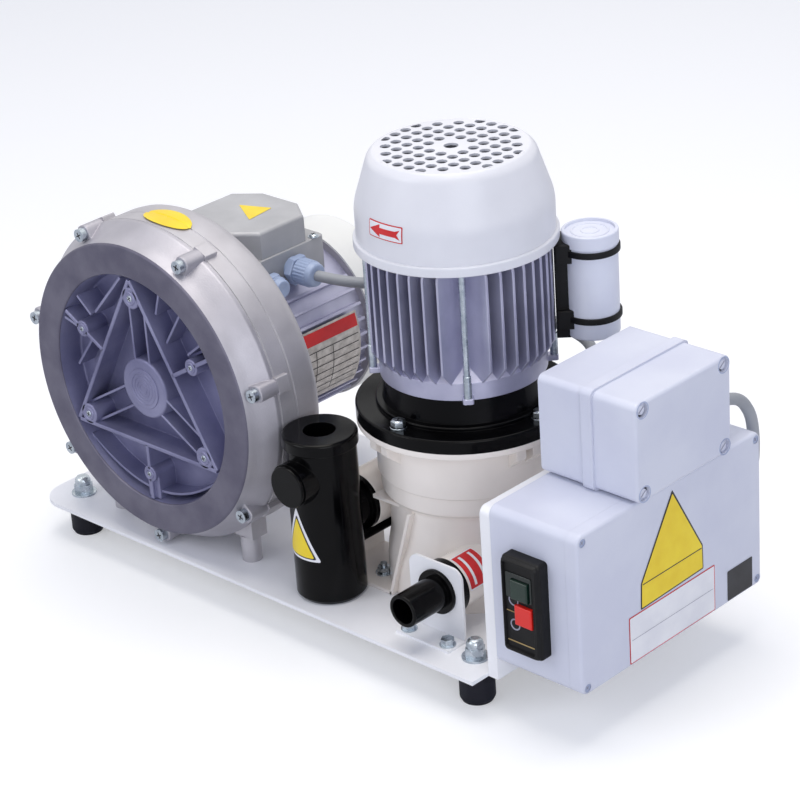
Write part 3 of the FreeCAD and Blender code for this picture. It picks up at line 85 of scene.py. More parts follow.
def add_camera():
    data = bpy.data.cameras.new("camera")
    data.lens = LENS
    data.sensor_width = SENSOR
    data.sensor_height = SENSOR
    data.clip_end = 20
    camera = bpy.data.objects.new("camera", data)
    scene.collection.objects.link(camera)
    axes = Matrix((CAMERA_RIGHT, CAMERA_UP, CAMERA_BACK)).transposed().to_4x4()
    camera.matrix_world = Matrix.Translation(CAMERA_AT) @ axes
    scene.camera = camera


# Colours are written as they show, and turned to linear values here

def linear(colour):
    return [c / 12.92 if c <= 0.04045 else ((c + 0.055) / 1.055) ** 2.4 for c in colour] + [1.0]


class Finish:
    """A material under construction: its node tree, its shader and its coordinates."""

    def __init__(self, name, rough=0.5, metal=0.0, sheen=0.5):
        self.material = bpy.data.materials.new(name)
        self.material.use_nodes = True
        self.tree = self.material.node_tree
        self.shader = self.tree.nodes["Principled BSDF"]
        self.shader.inputs["Roughness"].default_value = rough
        self.shader.inputs["Metallic"].default_value = metal
        self.shader.inputs["Specular IOR Level"].default_value = sheen
        self.place = self.add("ShaderNodeTexCoord").outputs["Object"]

    def add(self, kind, **settings):
        node = self.tree.nodes.new(kind)
        for name, value in settings.items():
            setattr(node, name, value)
        return node

    def link(self, source, target):
        self.tree.links.new(source, target)

    def noise(self, scale, detail=4.0, stretch=None):
        """Noise over the object's own coordinates, stretched along an axis when asked."""
        node = self.add("ShaderNodeTexNoise")
        node.inputs["Scale"].default_value = scale
        node.inputs["Detail"].default_value = detail
        source = self.place
        if stretch:
            mapping = self.add("ShaderNodeMapping")
            mapping.inputs["Scale"].default_value = stretch
            self.link(self.place, mapping.inputs["Vector"])
            source = mapping.outputs["Vector"]
        self.link(source, node.inputs["Vector"])
        return node.outputs["Fac"]

    def ramp(self, source, low, high, from_value=0.35, to_value=0.65):
        """Colour between two tones, driven by a value."""
        node = self.add("ShaderNodeValToRGB")
        node.color_ramp.elements[0].position = from_value
        node.color_ramp.elements[1].position = to_value
        node.color_ramp.elements[0].color = linear(low)
        node.color_ramp.elements[1].color = linear(high)
        self.link(source, node.inputs["Fac"])
        return node.outputs["Color"]

    def spread(self, source, low, high, socket):
        """Vary one of the shader's values between two limits."""
        node = self.add("ShaderNodeMapRange")
        node.inputs["To Min"].default_value = low
        node.inputs["To Max"].default_value = high
        self.link(source, node.inputs["Value"])
        self.link(node.outputs["Result"], self.shader.inputs[socket])

    def blend(self, share, first, second):
        node = self.add("ShaderNodeMix", data_type="RGBA")
        self.link(share, node.inputs["Factor"])
        self.link(first, node.inputs["A"])
        self.link(second, node.inputs["B"])
        return node.outputs["Result"]

    def paint(self, colour):
        self.link(colour, self.shader.inputs["Base Color"])

    def bump(self, source, strength, depth, edge=0.0):
        """Relief, over edges eased by a small radius."""
        node = self.add("ShaderNodeBump")
        node.inputs["Strength"].default_value = strength
        node.inputs["Distance"].default_value = depth
        self.link(source, node.inputs["Height"])
        if edge:
            ease = self.add("ShaderNodeBevel", samples=4)
            ease.inputs["Radius"].default_value = edge
            self.link(ease.outputs["Normal"], node.inputs["Normal"])
        self.link(node.outputs["Normal"], self.shader.inputs["Normal"])


def painted(name, low, high, rough, orange_peel=0.06, edge=0.0005, sheen=0.5):
    """Powder coat or gloss paint: faint mottling and orange peel."""
    finish = Finish(name, rough, sheen=sheen)
    finish.paint(finish.ramp(finish.noise(14), low, high))
    finish.spread(finish.noise(60), rough * 0.85, rough * 1.2, "Roughness")
    finish.bump(finish.noise(900, 2), orange_peel, 0.0004, edge)
    return finish.material


def moulded(name, low, high, rough, grain=0.05, edge=0.0005, sheen=0.5):
    """Moulded plastic: fine grain and slight tone changes."""
    finish = Finish(name, rough, sheen=sheen)
    finish.paint(finish.ramp(finish.noise(20), low, high))
    finish.spread(finish.noise(120), rough * 0.8, rough * 1.25, "Roughness")
    finish.bump(finish.noise(1600, 3), grain, 0.0003, edge)
    return finish.material


def cast(name, low, high, rough=0.45, metal=0.5, grain=0.25):
    """Die-cast aluminium: cloudy tone, sandy skin and dull edges."""
    finish = Finish(name, rough, metal)
    finish.paint(finish.ramp(finish.noise(26, 8), low, high, 0.3, 0.7))
    finish.spread(finish.noise(90, 6), rough * 0.75, rough * 1.35, "Roughness")
    finish.bump(finish.noise(700, 6), grain, 0.0004, 0.0006)
    return finish.material


def plated(name, low, high, rough=0.25, metal=1.0):
    """Zinc-plated or ground steel."""
    finish = Finish(name, rough, metal)
    finish.paint(finish.ramp(finish.noise(160, 5), low, high))
    finish.spread(finish.noise(300, 5), rough * 0.7, rough * 1.6, "Roughness")
    finish.bump(finish.noise(1200, 4), 0.1, 0.0002, 0.0003)
    return finish.material


def printed(name, low, high):
    """Printed film: slight tone changes and a smooth skin."""
    finish = Finish(name, 0.4)
    finish.paint(finish.ramp(finish.noise(45), low, high))
    finish.spread(finish.noise(150), 0.32, 0.48, "Roughness")
    finish.bump(finish.noise(2000, 2), 0.03, 0.0002)
    return finish.material


def cover_finish():
    """The blower cover's casting: a darker ring in front, partly its own tone and partly painted
    shade on its front face; painted shade over the pockets and ribs inside the ring; turned hub.
    """
    finish = Finish("cover_casting", 0.42, 0.5)
    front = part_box("blower_cover")[0].y
    ring_depth, ring_from, pockets_to = 1.6 * MM, 91 * MM, 93 * MM
    split = finish.add("ShaderNodeSeparateXYZ")
    finish.link(finish.place, split.inputs["Vector"])

    def maths(kind, first, second):
        node = finish.add("ShaderNodeMath", operation=kind)
        for socket, value in zip(node.inputs, (first, second)):
            if isinstance(value, (int, float)):
                socket.default_value = value
            else:
                finish.link(value, socket)
        return node.outputs["Value"]

    across = maths("SUBTRACT", split.outputs["X"], BLOWER_X * MM)
    along = maths("SUBTRACT", split.outputs["Z"], BLOWER_Z * MM)
    radius = maths("POWER", maths("ADD", maths("MULTIPLY", across, across),
                                  maths("MULTIPLY", along, along)), 0.5)
    # The ring's front face is darker: partly its own tone, partly painted shade.
    forward = maths("LESS_THAN", split.outputs["Y"], front + ring_depth)
    ring = maths("MULTIPLY", forward, maths("GREATER_THAN", radius, ring_from))
    # Painted shade: the pockets and ribs inside the ring take a darker, bluish tone.
    inside = maths("LESS_THAN", radius, pockets_to)
    casting = finish.ramp(finish.noise(26, 8), (0.64, 0.63, 0.66), (0.72, 0.71, 0.74), 0.3, 0.7)
    shaded = finish.ramp(finish.noise(22, 8), (0.43, 0.43, 0.56), (0.57, 0.57, 0.69), 0.3, 0.7)
    ring_tone_and_shade = finish.ramp(finish.noise(40, 6), (0.36, 0.35, 0.42), (0.43, 0.42, 0.48))
    inner = finish.blend(inside, casting, shaded)
    finish.paint(finish.blend(ring, inner, ring_tone_and_shade))
    finish.spread(finish.noise(90, 6), 0.34, 0.58, "Roughness")
    finish.bump(finish.noise(700, 6), 0.25, 0.0004, 0.0006)
    return finish.material


def make_finishes():
    return {
        "white": painted("white_paint", (0.94, 0.94, 0.95), (0.97, 0.97, 0.98), 0.34),
        "hood": painted("hood_paint", (0.865, 0.865, 0.885), (0.90, 0.90, 0.92), 0.3, 0.12),
        "cowl": painted("cowl_paint", (0.93, 0.93, 0.92), (0.96, 0.96, 0.94), 0.35, 0.1),
        "black_paint": painted("black_paint", (0.01, 0.01, 0.015), (0.03, 0.03, 0.04), 0.2,
                               sheen=0.12),
        "cast": cast("cast_aluminium", (0.68, 0.67, 0.69), (0.76, 0.75, 0.77)),
        "lid": cast("lid_casting", (0.66, 0.66, 0.67), (0.73, 0.73, 0.74), 0.5, 0.3, 0.12),
        "frame": cast("frame_aluminium", (0.64, 0.64, 0.74), (0.76, 0.76, 0.84), 0.36, 0.6, 0.15),
        "cover": cover_finish(),
        "zinc": plated("zinc", (0.62, 0.66, 0.70), (0.76, 0.79, 0.82)),
        "steel": plated("steel", (0.6, 0.6, 0.62), (0.72, 0.72, 0.74), 0.3),
        "iron": cast("laminated_iron", (0.25, 0.25, 0.27), (0.36, 0.36, 0.38), 0.5),
        "rubber": moulded("rubber", (0.04, 0.04, 0.08), (0.08, 0.08, 0.13), 0.6, 0.1, sheen=0.3),
        "white_plastic": moulded("white_plastic", (0.93, 0.90, 0.87), (0.96, 0.93, 0.90), 0.24),
        "box_grey": moulded("box_grey", (0.81, 0.82, 0.88), (0.84, 0.85, 0.90), 0.4, 0.12),
        "gland": moulded("gland_plastic", (0.62, 0.68, 0.80), (0.68, 0.74, 0.85), 0.35),
        "can": moulded("can_plastic", (0.86, 0.87, 0.93), (0.90, 0.91, 0.95), 0.3, 0.04),
        "black": moulded("black_plastic", (0.005, 0.005, 0.01), (0.025, 0.025, 0.03), 0.16,
                         0.03, sheen=0.14),
        "matt_black": moulded("matt_black", (0.02, 0.02, 0.03), (0.06, 0.06, 0.07), 0.5, 0.08,
                              sheen=0.25),
        "dark": moulded("dark_plastic", (0.08, 0.08, 0.09), (0.14, 0.14, 0.15), 0.5),
        "plug_grey": moulded("screw_plastic", (0.62, 0.66, 0.77), (0.68, 0.72, 0.82), 0.4),
        # Painted shade for the switch's recess.
        "window": moulded("recess_shade_pane", (0.01, 0.07, 0.06), (0.02, 0.12, 0.10), 0.1),
        "green": moulded("green_plastic", (0.02, 0.13, 0.10), (0.04, 0.19, 0.14), 0.14),
        "red": moulded("red_plastic", (0.84, 0.10, 0.08), (0.91, 0.15, 0.11), 0.3),
        "cable": moulded("cable_sheath", (0.56, 0.57, 0.59), (0.64, 0.65, 0.67), 0.5),
        "yellow": printed("yellow_film", (0.93, 0.80, 0.10), (0.96, 0.85, 0.16)),
        "red_print": printed("red_film", (0.78, 0.10, 0.12), (0.86, 0.15, 0.16)),
        "white_print": printed("white_film", (0.90, 0.90, 0.92), (0.94, 0.94, 0.95)),
        # Dark print, also used for the painted shade in screw recesses.
        "dark_print_and_shade": printed("dark_film_and_shade", (0.10, 0.10, 0.12), (0.16, 0.16, 0.18)),
        # Grey print, also used for the painted shade in the boxes' screw recesses.
        "grey_print_and_shade": printed("grey_film_and_shade", (0.55, 0.55, 0.62), (0.62, 0.62, 0.68)),
        "gold_print": printed("gold_film", (0.62, 0.52, 0.32), (0.72, 0.62, 0.40)),
        "silver": plated("silver_plate", (0.66, 0.64, 0.62), (0.78, 0.76, 0.74), 0.35, 0.7),
    }


NODE_FINISH = {
    "white": ["base_plate", "side_panel", "outlet_bracket"],
    "hood": ["motor_hood"],
    "cowl": ["blower_fan_cowl"],
    "black_paint": ["motor_flange"],
    "cast": ["blower_housing", "support_posts", "blower_impeller", "blower_end_shield",
             "motor_end_shield"],
    "lid": ["terminal_box_base", "terminal_box_lid"],
    "frame": ["motor_housing", "blower_motor_housing"],
    "cover": ["blower_cover"],
    "zinc": ["foot_nuts", "cover_screws", "flange_bolts", "tie_rods", "separator_leg_nut",
             "bracket_screws"],
    "steel": ["blower_rotor", "motor_rotor", "blower_front_bearing", "blower_rear_bearing",
              "motor_lower_bearing", "motor_upper_bearing"],
    "iron": ["blower_stator", "motor_stator"],
    "rubber": ["rubber_feet"],
    "white_plastic": ["separator_upper_housing", "separator_lower_housing", "separator_leg",
                      "separator_turbine"],
    "box_grey": ["control_box_base", "control_box_lid", "junction_box_base", "junction_box_lid",
                 "junction_box_screws"],
    "plug_grey": ["control_box_screws"],
    "gland": ["terminal_glands", "box_glands"],
    "can": ["capacitor"],
    "black": ["inlet_trap", "inlet_port_plug", "inlet_union", "drain_stub", "outlet_spigot",
              "outlet_cuff"],
    "matt_black": ["capacitor_bracket", "switch_plate_body"],
    "dark": ["contactor", "blower_cooling_fan", "motor_cooling_fan"],
    "green": ["start_button"],
    "red": ["stop_button"],
    "cable": ["motor_cable", "box_cable"],
}


def dress_nodes(finishes):
    """Give every node its finish, and shade it smooth."""
    for key, names in NODE_FINISH.items():
        for name in names:
            mesh = nodes[name].data
            mesh.materials.clear()
            mesh.materials.append(finishes[key])
            mesh.shade_smooth()


# Placements, mesh building and outlines, all in millimetres

def facing(x, y, z, out, up):
    """Placement in millimetres, with its Z axis along out and its Y axis along up."""
    out = Vector(out).normalized()
    across = Vector(up).cross(out).normalized()
    axes = Matrix((across, out.cross(across), out)).transposed().to_4x4()
    return Matrix.Translation(Vector((x, y, z)) * MM) @ axes @ Matrix.Scale(MM, 4)


def upwards(x, y, z):
    """Placement whose Z axis points up."""
    return facing(x, y, z, (0, 0, 1), (0, 1, 0))


def frontwards(x, y, z):
    """Placement whose Z axis points to the front."""
    return facing(x, y, z, (0, -1, 0), (0, 0, 1))


def backwards(x, y, z):
    """Placement whose Z axis points to the back."""
    return facing(x, y, z, (0, 1, 0), (0, 0, 1))


def rightwards(x, y, z):
    """Placement whose Z axis points to the right."""
    return facing(x, y, z, (1, 0, 0), (0, 0, 1))


def outwards(turn):
    """Placement on the upright motor's axis, whose Z axis points sideways at an angle."""
    turn = math.radians(turn)
    return facing(MOTOR_X, MOTOR_Y, 0, (math.sin(turn), -math.cos(turn), 0), (0, 0, 1))


class Piece:
    """A mesh under construction, with its finishes in the order of their first use."""

    def __init__(self, name):
        self.name = name
        self.mesh = bmesh.new()
        self.keys = []

    def points(self, place, points):
        return [self.mesh.verts.new(place @ Vector(point)) for point in points]

    def face(self, corners, key):
        if key not in self.keys:
            self.keys.append(key)
        made = self.mesh.faces.new(corners)
        made.material_index = self.keys.index(key)
        made.smooth = True

    def skin(self, rings, key, closed=True):
        """Quads between rings of points that all have the same count."""
        for first, second in zip(rings, rings[1:]):
            count = len(first)
            for k in range(count if closed else count - 1):
                n = (k + 1) % count
                self.face((first[k], first[n], second[n], second[k]), key)

    def prism(self, place, outline, low, high, key, edge=0.0):
        """Outline raised between two levels, its upper edge eased by a chamfer."""
        inner = inset(outline, edge) if edge else outline
        levels = [(outline, low), (outline, high - edge)] + ([(inner, high)] if edge else [])
        rings = [self.points(place, [(x, y, level) for x, y in loop]) for loop, level in levels]
        self.skin(rings, key)
        self.face(rings[-1], key)
        self.face(rings[0][::-1], key)

    def turned(self, place, profile, key, steps=32, capped=False):
        """Profile of radius and level turned about the placement's Z axis."""
        rings = []
        for radius, level in profile:
            turns = [math.tau * k / steps for k in range(steps)]
            rings.append(self.points(place, [
                (radius * math.cos(t), radius * math.sin(t), level) for t in turns]))
        self.skin(rings, key)
        if capped:
            self.face(rings[-1], key)

    def cling(self, under, place, outline, key, lift=0.25, rings=10):
        """Film over an object: the outline, filled towards its middle, laid on the surface."""
        surface = BVHTree.FromPolygons([v.co for v in under.data.vertices],
                                       [tuple(p.vertices) for p in under.data.polygons])
        inward = -(place.to_3x3() @ Vector((0, 0, 1))).normalized()
        middle_x = sum(x for x, y in outline) / len(outline)
        middle_y = sum(y for x, y in outline) / len(outline)
        fine = refined(outline, 2.5)
        loops = []
        for k in range(rings + 1):
            share = 1 - k / rings
            loop = []
            for x, y in fine:
                start = place @ Vector((
                    middle_x + (x - middle_x) * share, middle_y + (y - middle_y) * share, 0))
                hit = surface.ray_cast(start, inward)[0]
                loop.append(self.mesh.verts.new(hit - inward * lift * MM if hit else start))
            loops.append(loop)
        self.skin(loops, key)

    def perforated(self, place, radius, holes, high, low, key, steps):
        """Disc with round holes, and the walls of the holes down to a level."""
        loops = []
        for x, y, size, count in [(0, 0, radius, steps)] + [(x, y, r, 20) for x, y, r in holes]:
            turns = [math.tau * k / count for k in range(count)]
            loops.append([Vector((x + size * math.cos(t), y + size * math.sin(t))) for t in turns])
        flat, edges = [], []
        for loop in loops:
            first = len(flat)
            flat += loop
            edges += [(first + k, first + (k + 1) % len(loop)) for k in range(len(loop))]
        filled = delaunay_2d_cdt(flat, edges, [], 1, 1e-5)
        spots, faces = filled[0], filled[2]
        corners = self.points(place, [(spot.x, spot.y, high) for spot in spots])
        for face in faces:
            middle = sum((spots[k] for k in face), Vector((0, 0))) / len(face)
            if all((middle - Vector((x, y))).length > r * 0.99 for x, y, r in holes):
                self.face([corners[k] for k in face], key)
        for loop in loops[1:]:
            self.skin([self.points(place, [(p.x, p.y, level) for p in loop])
                       for level in (high, low)], key)

    def done(self, *replaced, body="chassis"):
        bmesh.ops.remove_doubles(self.mesh, verts=self.mesh.verts, dist=0.002 * MM)
        bmesh.ops.recalc_face_normals(self.mesh, faces=self.mesh.faces)
        mesh = bpy.data.meshes.new(self.name)
        self.mesh.to_mesh(mesh)
        self.mesh.free()
        mesh.set_sharp_from_angle(angle=math.radians(35))
        for key in self.keys:
            mesh.materials.append(finishes[key])
        made = bpy.data.objects.new(self.name, mesh)
        scene.collection.objects.link(made)
        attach(made, body)
        if replaced:
            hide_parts(*replaced)
        return made


def inset(outline, distance):
    """Outline drawn towards its middle by a distance along both axes."""
    middle_x = (min(x for x, y in outline) + max(x for x, y in outline)) / 2
    middle_y = (min(y for x, y in outline) + max(y for x, y in outline)) / 2
    half_x = max(x for x, y in outline) - middle_x
    half_y = max(y for x, y in outline) - middle_y
    return [(middle_x + (x - middle_x) * (half_x - distance) / half_x,
             middle_y + (y - middle_y) * (half_y - distance) / half_y) for x, y in outline]


def refined(outline, step):
    """The same outline with points at most a step apart."""
    fine = []
    for (x, y), (next_x, next_y) in zip(outline, outline[1:] + outline[:1]):
        count = max(1, math.ceil(math.hypot(next_x - x, next_y - y) / step))
        fine += [(x + (next_x - x) * k / count, y + (next_y - y) * k / count)
                 for k in range(count)]
    return fine


def rectangle(left, low, right, high, corner=0.0, steps=5):
    """Rectangle with rounded corners."""
    if not corner:
        return [(left, low), (right, low), (right, high), (left, high)]
    outline = []
    for x, y, start in ((right - corner, low + corner, -90), (right - corner, high - corner, 0),
                        (left + corner, high - corner, 90), (left + corner, low + corner, 180)):
        for k in range(steps + 1):
            turn = math.radians(start + 90 * k / steps)
            outline.append((x + corner * math.cos(turn), y + corner * math.sin(turn)))
    return outline


def rounded(corners, closed=True, steps=4):
    """Outline or profile whose corners with a third value are rounded by that radius."""
    points = []
    for k, corner in enumerate(corners):
        here = Vector(corner[:2])
        if len(corner) < 3 or (not closed and k in (0, len(corners) - 1)):
            points.append((here.x, here.y))
            continue
        before = Vector(corners[k - 1][:2]) - here
        after = Vector(corners[(k + 1) % len(corners)][:2]) - here
        cut = min(corner[2], before.length * 0.49, after.length * 0.49)
        start, end = here + before.normalized() * cut, here + after.normalized() * cut
        for n in range(steps + 1):
            t = n / steps
            point = start * (1 - t) ** 2 + here * 2 * t * (1 - t) + end * t ** 2
            points.append((point.x, point.y))
    return points


def softened(corners, radius):
    """Closed outline with all its corners rounded alike."""
    return rounded([(x, y, radius) for x, y in corners])


def strip(start, end, wide):
    """Narrow rectangle from one point to another."""
    along = (Vector(end) - Vector(start)).normalized() * wide / 2
    aside = Vector((-along.y, along.x))
    return [tuple(Vector(p) + aside * s) for p, s in ((start, 1), (start, -1), (end, -1), (end, 1))]


def hexagon(radius):
    return [(radius * math.cos(math.radians(60 * k)), radius * math.sin(math.radians(60 * k)))
            for k in range(6)]


def spun(place, turn):
    """The placement turned about its own Z axis, by an angle in degrees."""
    return place @ Matrix.Rotation(math.radians(turn), 4, "Z")


def moved(place, x, y):
    """The placement moved along its own X and Y axes."""
    return place @ Matrix.Translation((x, y, 0))


def oval(half_x, half_y, steps=48):
    return [(half_x * math.cos(math.tau * k / steps), half_y * math.sin(math.tau * k / steps))
            for k in range(steps)]


def cross_mark(piece, place, radius, level, turn=0.0, key="dark_print_and_shade"):
    """Recess of a cross-head screw, drawn as two thin bars in a dark tone: painted shade."""
    turned = spun(place, turn)
    for bar in (rectangle(-radius, -radius * 0.2, radius, radius * 0.2),
                rectangle(-radius * 0.2, -radius, radius * 0.2, radius)):
        piece.prism(turned, bar, level - 0.3, level, key)


# Castings and shells with their finer forms, each in the place of its node

def make_cover_casting():
    """Blower cover: ring, star of ribs with bosses, webs between them and screw lugs."""
    cover = Piece("cover_casting")
    place = frontwards(BLOWER_X, PARTING_Y, BLOWER_Z)
    floor, rib_top, web_top = 3, 24, 19
    cover.turned(place, rounded([
        (127, 0), (127, 3, 1), (118.6, 16.5, 10), (115.6, 25, 1.5), (92, 25, 1.5), (90, 4, 2),
        (25, 4, 2), (24, 20, 2.5), (16, 20), (16, HUB_RISE, 0.4), (0.01, HUB_RISE)],
        closed=False), "cover", 128)
    for k in range(3):
        third = spun(place, 120 * k)
        cover.prism(third, rectangle(-77, -46.6, 77, -43.4), floor, rib_top, "cover", 0.5)
        cover.prism(third, rectangle(-1.6, -91, 1.6, -45), floor, rib_top, "cover", 0.5)
        for spot, size in ((BOSS_CIRCLE, 8.5), (-SMALL_BOSS_CIRCLE, 6.5)):
            cover.turned(moved(third, 0, spot), [
                (size, floor), (size, 23.3), (size - 0.7, rib_top)], "cover", capped=True)
        for side in (-8, 8):
            cover.prism(third, rectangle(side - 1, 21, side + 1, 75), floor, web_top, "cover", 0.3)
    cover.prism(place, rectangle(-6.4, -91, 6.4, -70), floor, 21, "cover", 0.5)
    for turn, start in ((72, 69), (56, 54), (38, 67)):
        cover.prism(spun(place, turn), rectangle(start, -1, 91, 1), floor, web_top, "cover", 0.3)
    for start, end, top in (((-11.5, 88), (-45, 52), 22), ((-76, 0), (-55, 27), web_top),
                            ((-62, 62), (-48, 50), rib_top), ((-80, 40), (-61, 35), rib_top)):
        cover.prism(place, strip(start, end, 2), floor, top, "cover")
    bow = [(x, -86 + x * x / 185) for x in range(-70, 71, 5)]
    cover.prism(place, bow + [(x, y + 2) for x, y in bow[::-1]], floor, web_top, "cover")
    lug = rounded([(-6.5, -116), (-6.5, -130.5, 5.8), (6.5, -130.5, 5.8), (6.5, -116)])
    for k in range(LUGS):
        cover.prism(spun(place, 360 * k / LUGS), lug, 0, 17, "cover", 0.6)
    cover.done("blower_cover")


def make_housing_casting():
    """Blower's rear half: rounded belly with two fine seams, lugs and the pads of its posts."""
    housing = Piece("housing_casting")
    place = backwards(BLOWER_X, PARTING_Y, BLOWER_Z)
    housing.turned(place, rounded([
        (126.2, 0), (126.2, 1.2), (127, 1.6), (127, 16), (126.2, 16.4), (126.2, 17.2), (127, 17.6),
        (127, 41, 8), (100, 51, 5), (17.5, 51), (17.5, 40), (0.01, 40)], closed=False),
        "cast", 128)
    for k in range(LUGS):
        housing.prism(spun(place, 360 * k / LUGS), rectangle(-6.5, -130.5, 6.5, -118, 1), 0, 12,
                      "cast", 0.5)
    for side in (-1, 1):
        housing.prism(place, [(63 * side, -99), (83 * side, -83), (83 * side, -111),
                              (63 * side, -111)], 0, 16, "cast", 0.8)
    return housing.done("blower_housing")


def make_fin_casting():
    """Upright motor's housing: four groups of parallel fins, a cone ledge and thin rod ears."""
    low, high = (corner.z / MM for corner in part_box("motor_housing"))
    ledge = low + 13
    body = Piece("fin_casting")
    place = upwards(MOTOR_X, MOTOR_Y, 0)
    body.turned(place, [
        (46, low), (60.5, low), (60.5, ledge), (50.5, ledge + 9), (50.5, high - 3), (63, high - 3),
        (63, high), (46, high)], "frame", 96)
    for group in range(4):
        side = outwards(90 * group)
        for k in range(8):
            aside = 9.6 * (k - 3.5)
            root, foot, tip = (math.sqrt(r * r - aside * aside) for r in (49, 60, 67))
            body.prism(side, rounded([
                (root, ledge - 1), (foot, ledge - 1), (tip, ledge + 9), (tip, high - 1, 6),
                (root, high - 1)]), aside - 1.1, aside + 1.1, "frame", 0.35)
        ear = spun(place, 45 + 90 * group)
        body.prism(ear, rounded([(57, -4), (68, -4, 2), (68, 4, 2), (57, 4)]), low, low + 4,
                   "frame", 0.5)
    body.done("motor_housing")

    rods = Piece("rods_and_sleeves")
    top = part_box("tie_rods")[1].z / MM
    for group in range(4):
        spot = moved(spun(place, 45 + 90 * group), ROD_CIRCLE, 0)
        rods.turned(spot, [(2.9, low + 4), (2.9, low + 20.5), (2.3, low + 21), (2.2, low + 21.5),
                           (2.2, top - 4), (3.6, top - 4), (3.6, top - 0.5), (3, top), (0.01, top)],
                    "zinc", 20)
    rods.done("tie_rods")


def make_hood_shell():
    """Fan hood: bead, straight side, cone and a crown with a square lattice of holes."""
    low, high = (corner.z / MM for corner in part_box("motor_hood"))
    crown, skin = 52.3, 1.8
    hood = Piece("hood_shell")
    place = upwards(MOTOR_X, MOTOR_Y, 0)
    hood.turned(place, rounded([
        (68.7, low), (72.8, low, 1), (72.8, low + 7, 1.2), (70.5, low + 7.2), (70.5, low + 31, 6),
        (59.5, high - 4, 9), (55.3, high, 3), (crown, high)], closed=False, steps=6),
        "hood", 128)
    holes = [(0, 0, 5.2)]
    for column in range(-5, 5):
        for line in range(-5, 5):
            across, along = HOOD_PITCH * (column + 0.5), HOOD_PITCH * (line + 0.5)
            if 11 < math.hypot(across, along) <= 51:
                holes.append((across, along, HOOD_HOLE))
    hood.perforated(place, crown, holes, high, high - skin, "hood", 128)
    return hood.done("motor_hood")


def make_terminal_base():
    """Terminal box base with rounded corners, and its two ribbed glands."""
    low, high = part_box("terminal_box_base")
    base = Piece("terminal_base_casting")
    place = upwards(TERMINAL_X, TERMINAL_Y, 0)
    base.prism(place, rectangle(-41, -42, 41, 42, 4), low.z / MM, high.z / MM, "lid", 0.8)
    base.done("terminal_box_base")

    glands = Piece("gland_bodies")
    for y, z, radius, long in ((16, 228, 11.5, 27), (-11, 224, 9.5, 18)):
        out = rightwards(TERMINAL_X + 41, y, z)
        glands.turned(out, [(radius * 0.8, 0), (radius * 0.8, 4)], "gland")
        glands.prism(out, hexagon(radius * 1.05), 3, 9, "gland", 0.8)
        ridges = []
        for k in range(72):
            turn = math.tau * k / 72
            size = radius - (1 if k % 3 else 1.5)
            ridges.append((size * math.cos(turn), size * math.sin(turn)))
        glands.prism(out, ridges, 10, long - 5, "gland", 0.5)
        glands.turned(out, rounded([(radius - 1.6, long - 5), (radius - 2.6, long, 3), (4.6, long),
                                    (0.01, long - 1)], closed=False), "gland")
    glands.done("terminal_glands")


def make_separator_shells():
    """Separator's bowl with its cheeks, and the flared well with its two pipes and keel."""
    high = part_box("separator_upper_housing")[1].z / MM
    ring = high - 4.9
    seam = PLATE_TOP + 85.5
    bowl = Piece("separator_bowl")
    place = upwards(MOTOR_X, MOTOR_Y, 0)
    bowl.turned(place, rounded([
        (40, high), (80, high, 0.6), (80, ring, 1), (67, ring, 1), (67, PLATE_TOP + 94, 0.6),
        (65, PLATE_TOP + 93, 0.5), (65, seam)], closed=False), "white_plastic", 128)
    for group in range(4):
        side = outwards(CHEEK_TURN + 90 * group)
        for start in (-11, 3):
            bowl.prism(side, [(66, ring + 1), (77, ring + 1), (77, ring - 8), (66, ring - 17)],
                       start, start + 8, "white_plastic", 0.4)
    bowl.done("separator_upper_housing")

    well = Piece("separator_well")
    well.turned(place, rounded([
        (64, PLATE_TOP), (64, PLATE_TOP + 26, 10), (60, PLATE_TOP + 44, 12),
        (60, PLATE_TOP + 75.5, 4), (65, PLATE_TOP + 79.5, 1), (65, seam)],
        closed=False), "white_plastic", 128)
    inlet = backwards(INLET_X, -46, INLET_Z)
    well.turned(inlet, rounded([(18, 0), (22, 0, 0.5), (22, 76, 20), (0.01, 76)], closed=False),
                "white_plastic", 64)
    well.prism(backwards(INLET_X, 0, 0), rectangle(-7, 62, 7, 90), -14, 8, "white_plastic", 1)
    outlet = backwards(OUTLET_X, -70, OUTLET_Z)
    well.turned(outlet, [(15, 0), (19.5, 0), (19.5, 60)], "white_plastic", 64)
    shell = well.done("separator_lower_housing")

    leg = Piece("separator_foot")
    sheet = frontwards(0, 0, 0)
    leg.prism(sheet, rectangle(-2, PLATE_TOP, 2, INLET_Z), 8, 46, "white_plastic", 0.5)
    leg.prism(sheet, rectangle(-2, PLATE_TOP, 60.6, PLATE_TOP + 3), 8, 62, "white_plastic", 0.5)
    leg.prism(sheet, [(57.6, PLATE_TOP), (60.6, PLATE_TOP), (85.4, 107), (82.4, 107)], 8, 62,
              "white_plastic", 0.5)
    leg.prism(sheet, rectangle(40, 104, 84, 107), 8, 54, "white_plastic", 0.5)
    leg.done("separator_leg")
    return shell


def make_outlet_tube():
    """Drain tube: straight, with a thin collar against its bracket."""
    tube = Piece("outlet_tube")
    place = frontwards(OUTLET_X, -81, OUTLET_Z)
    tube.turned(place, rounded([
        (13, -10), (13, 0), (17, 0), (17, 3, 0.8), (12.6, 3), (12.5, 37, 1.2), (9.5, 37, 0.6),
        (9.5, -8), (0.01, -8)], closed=False), "black", 64)
    tube.done("outlet_spigot")


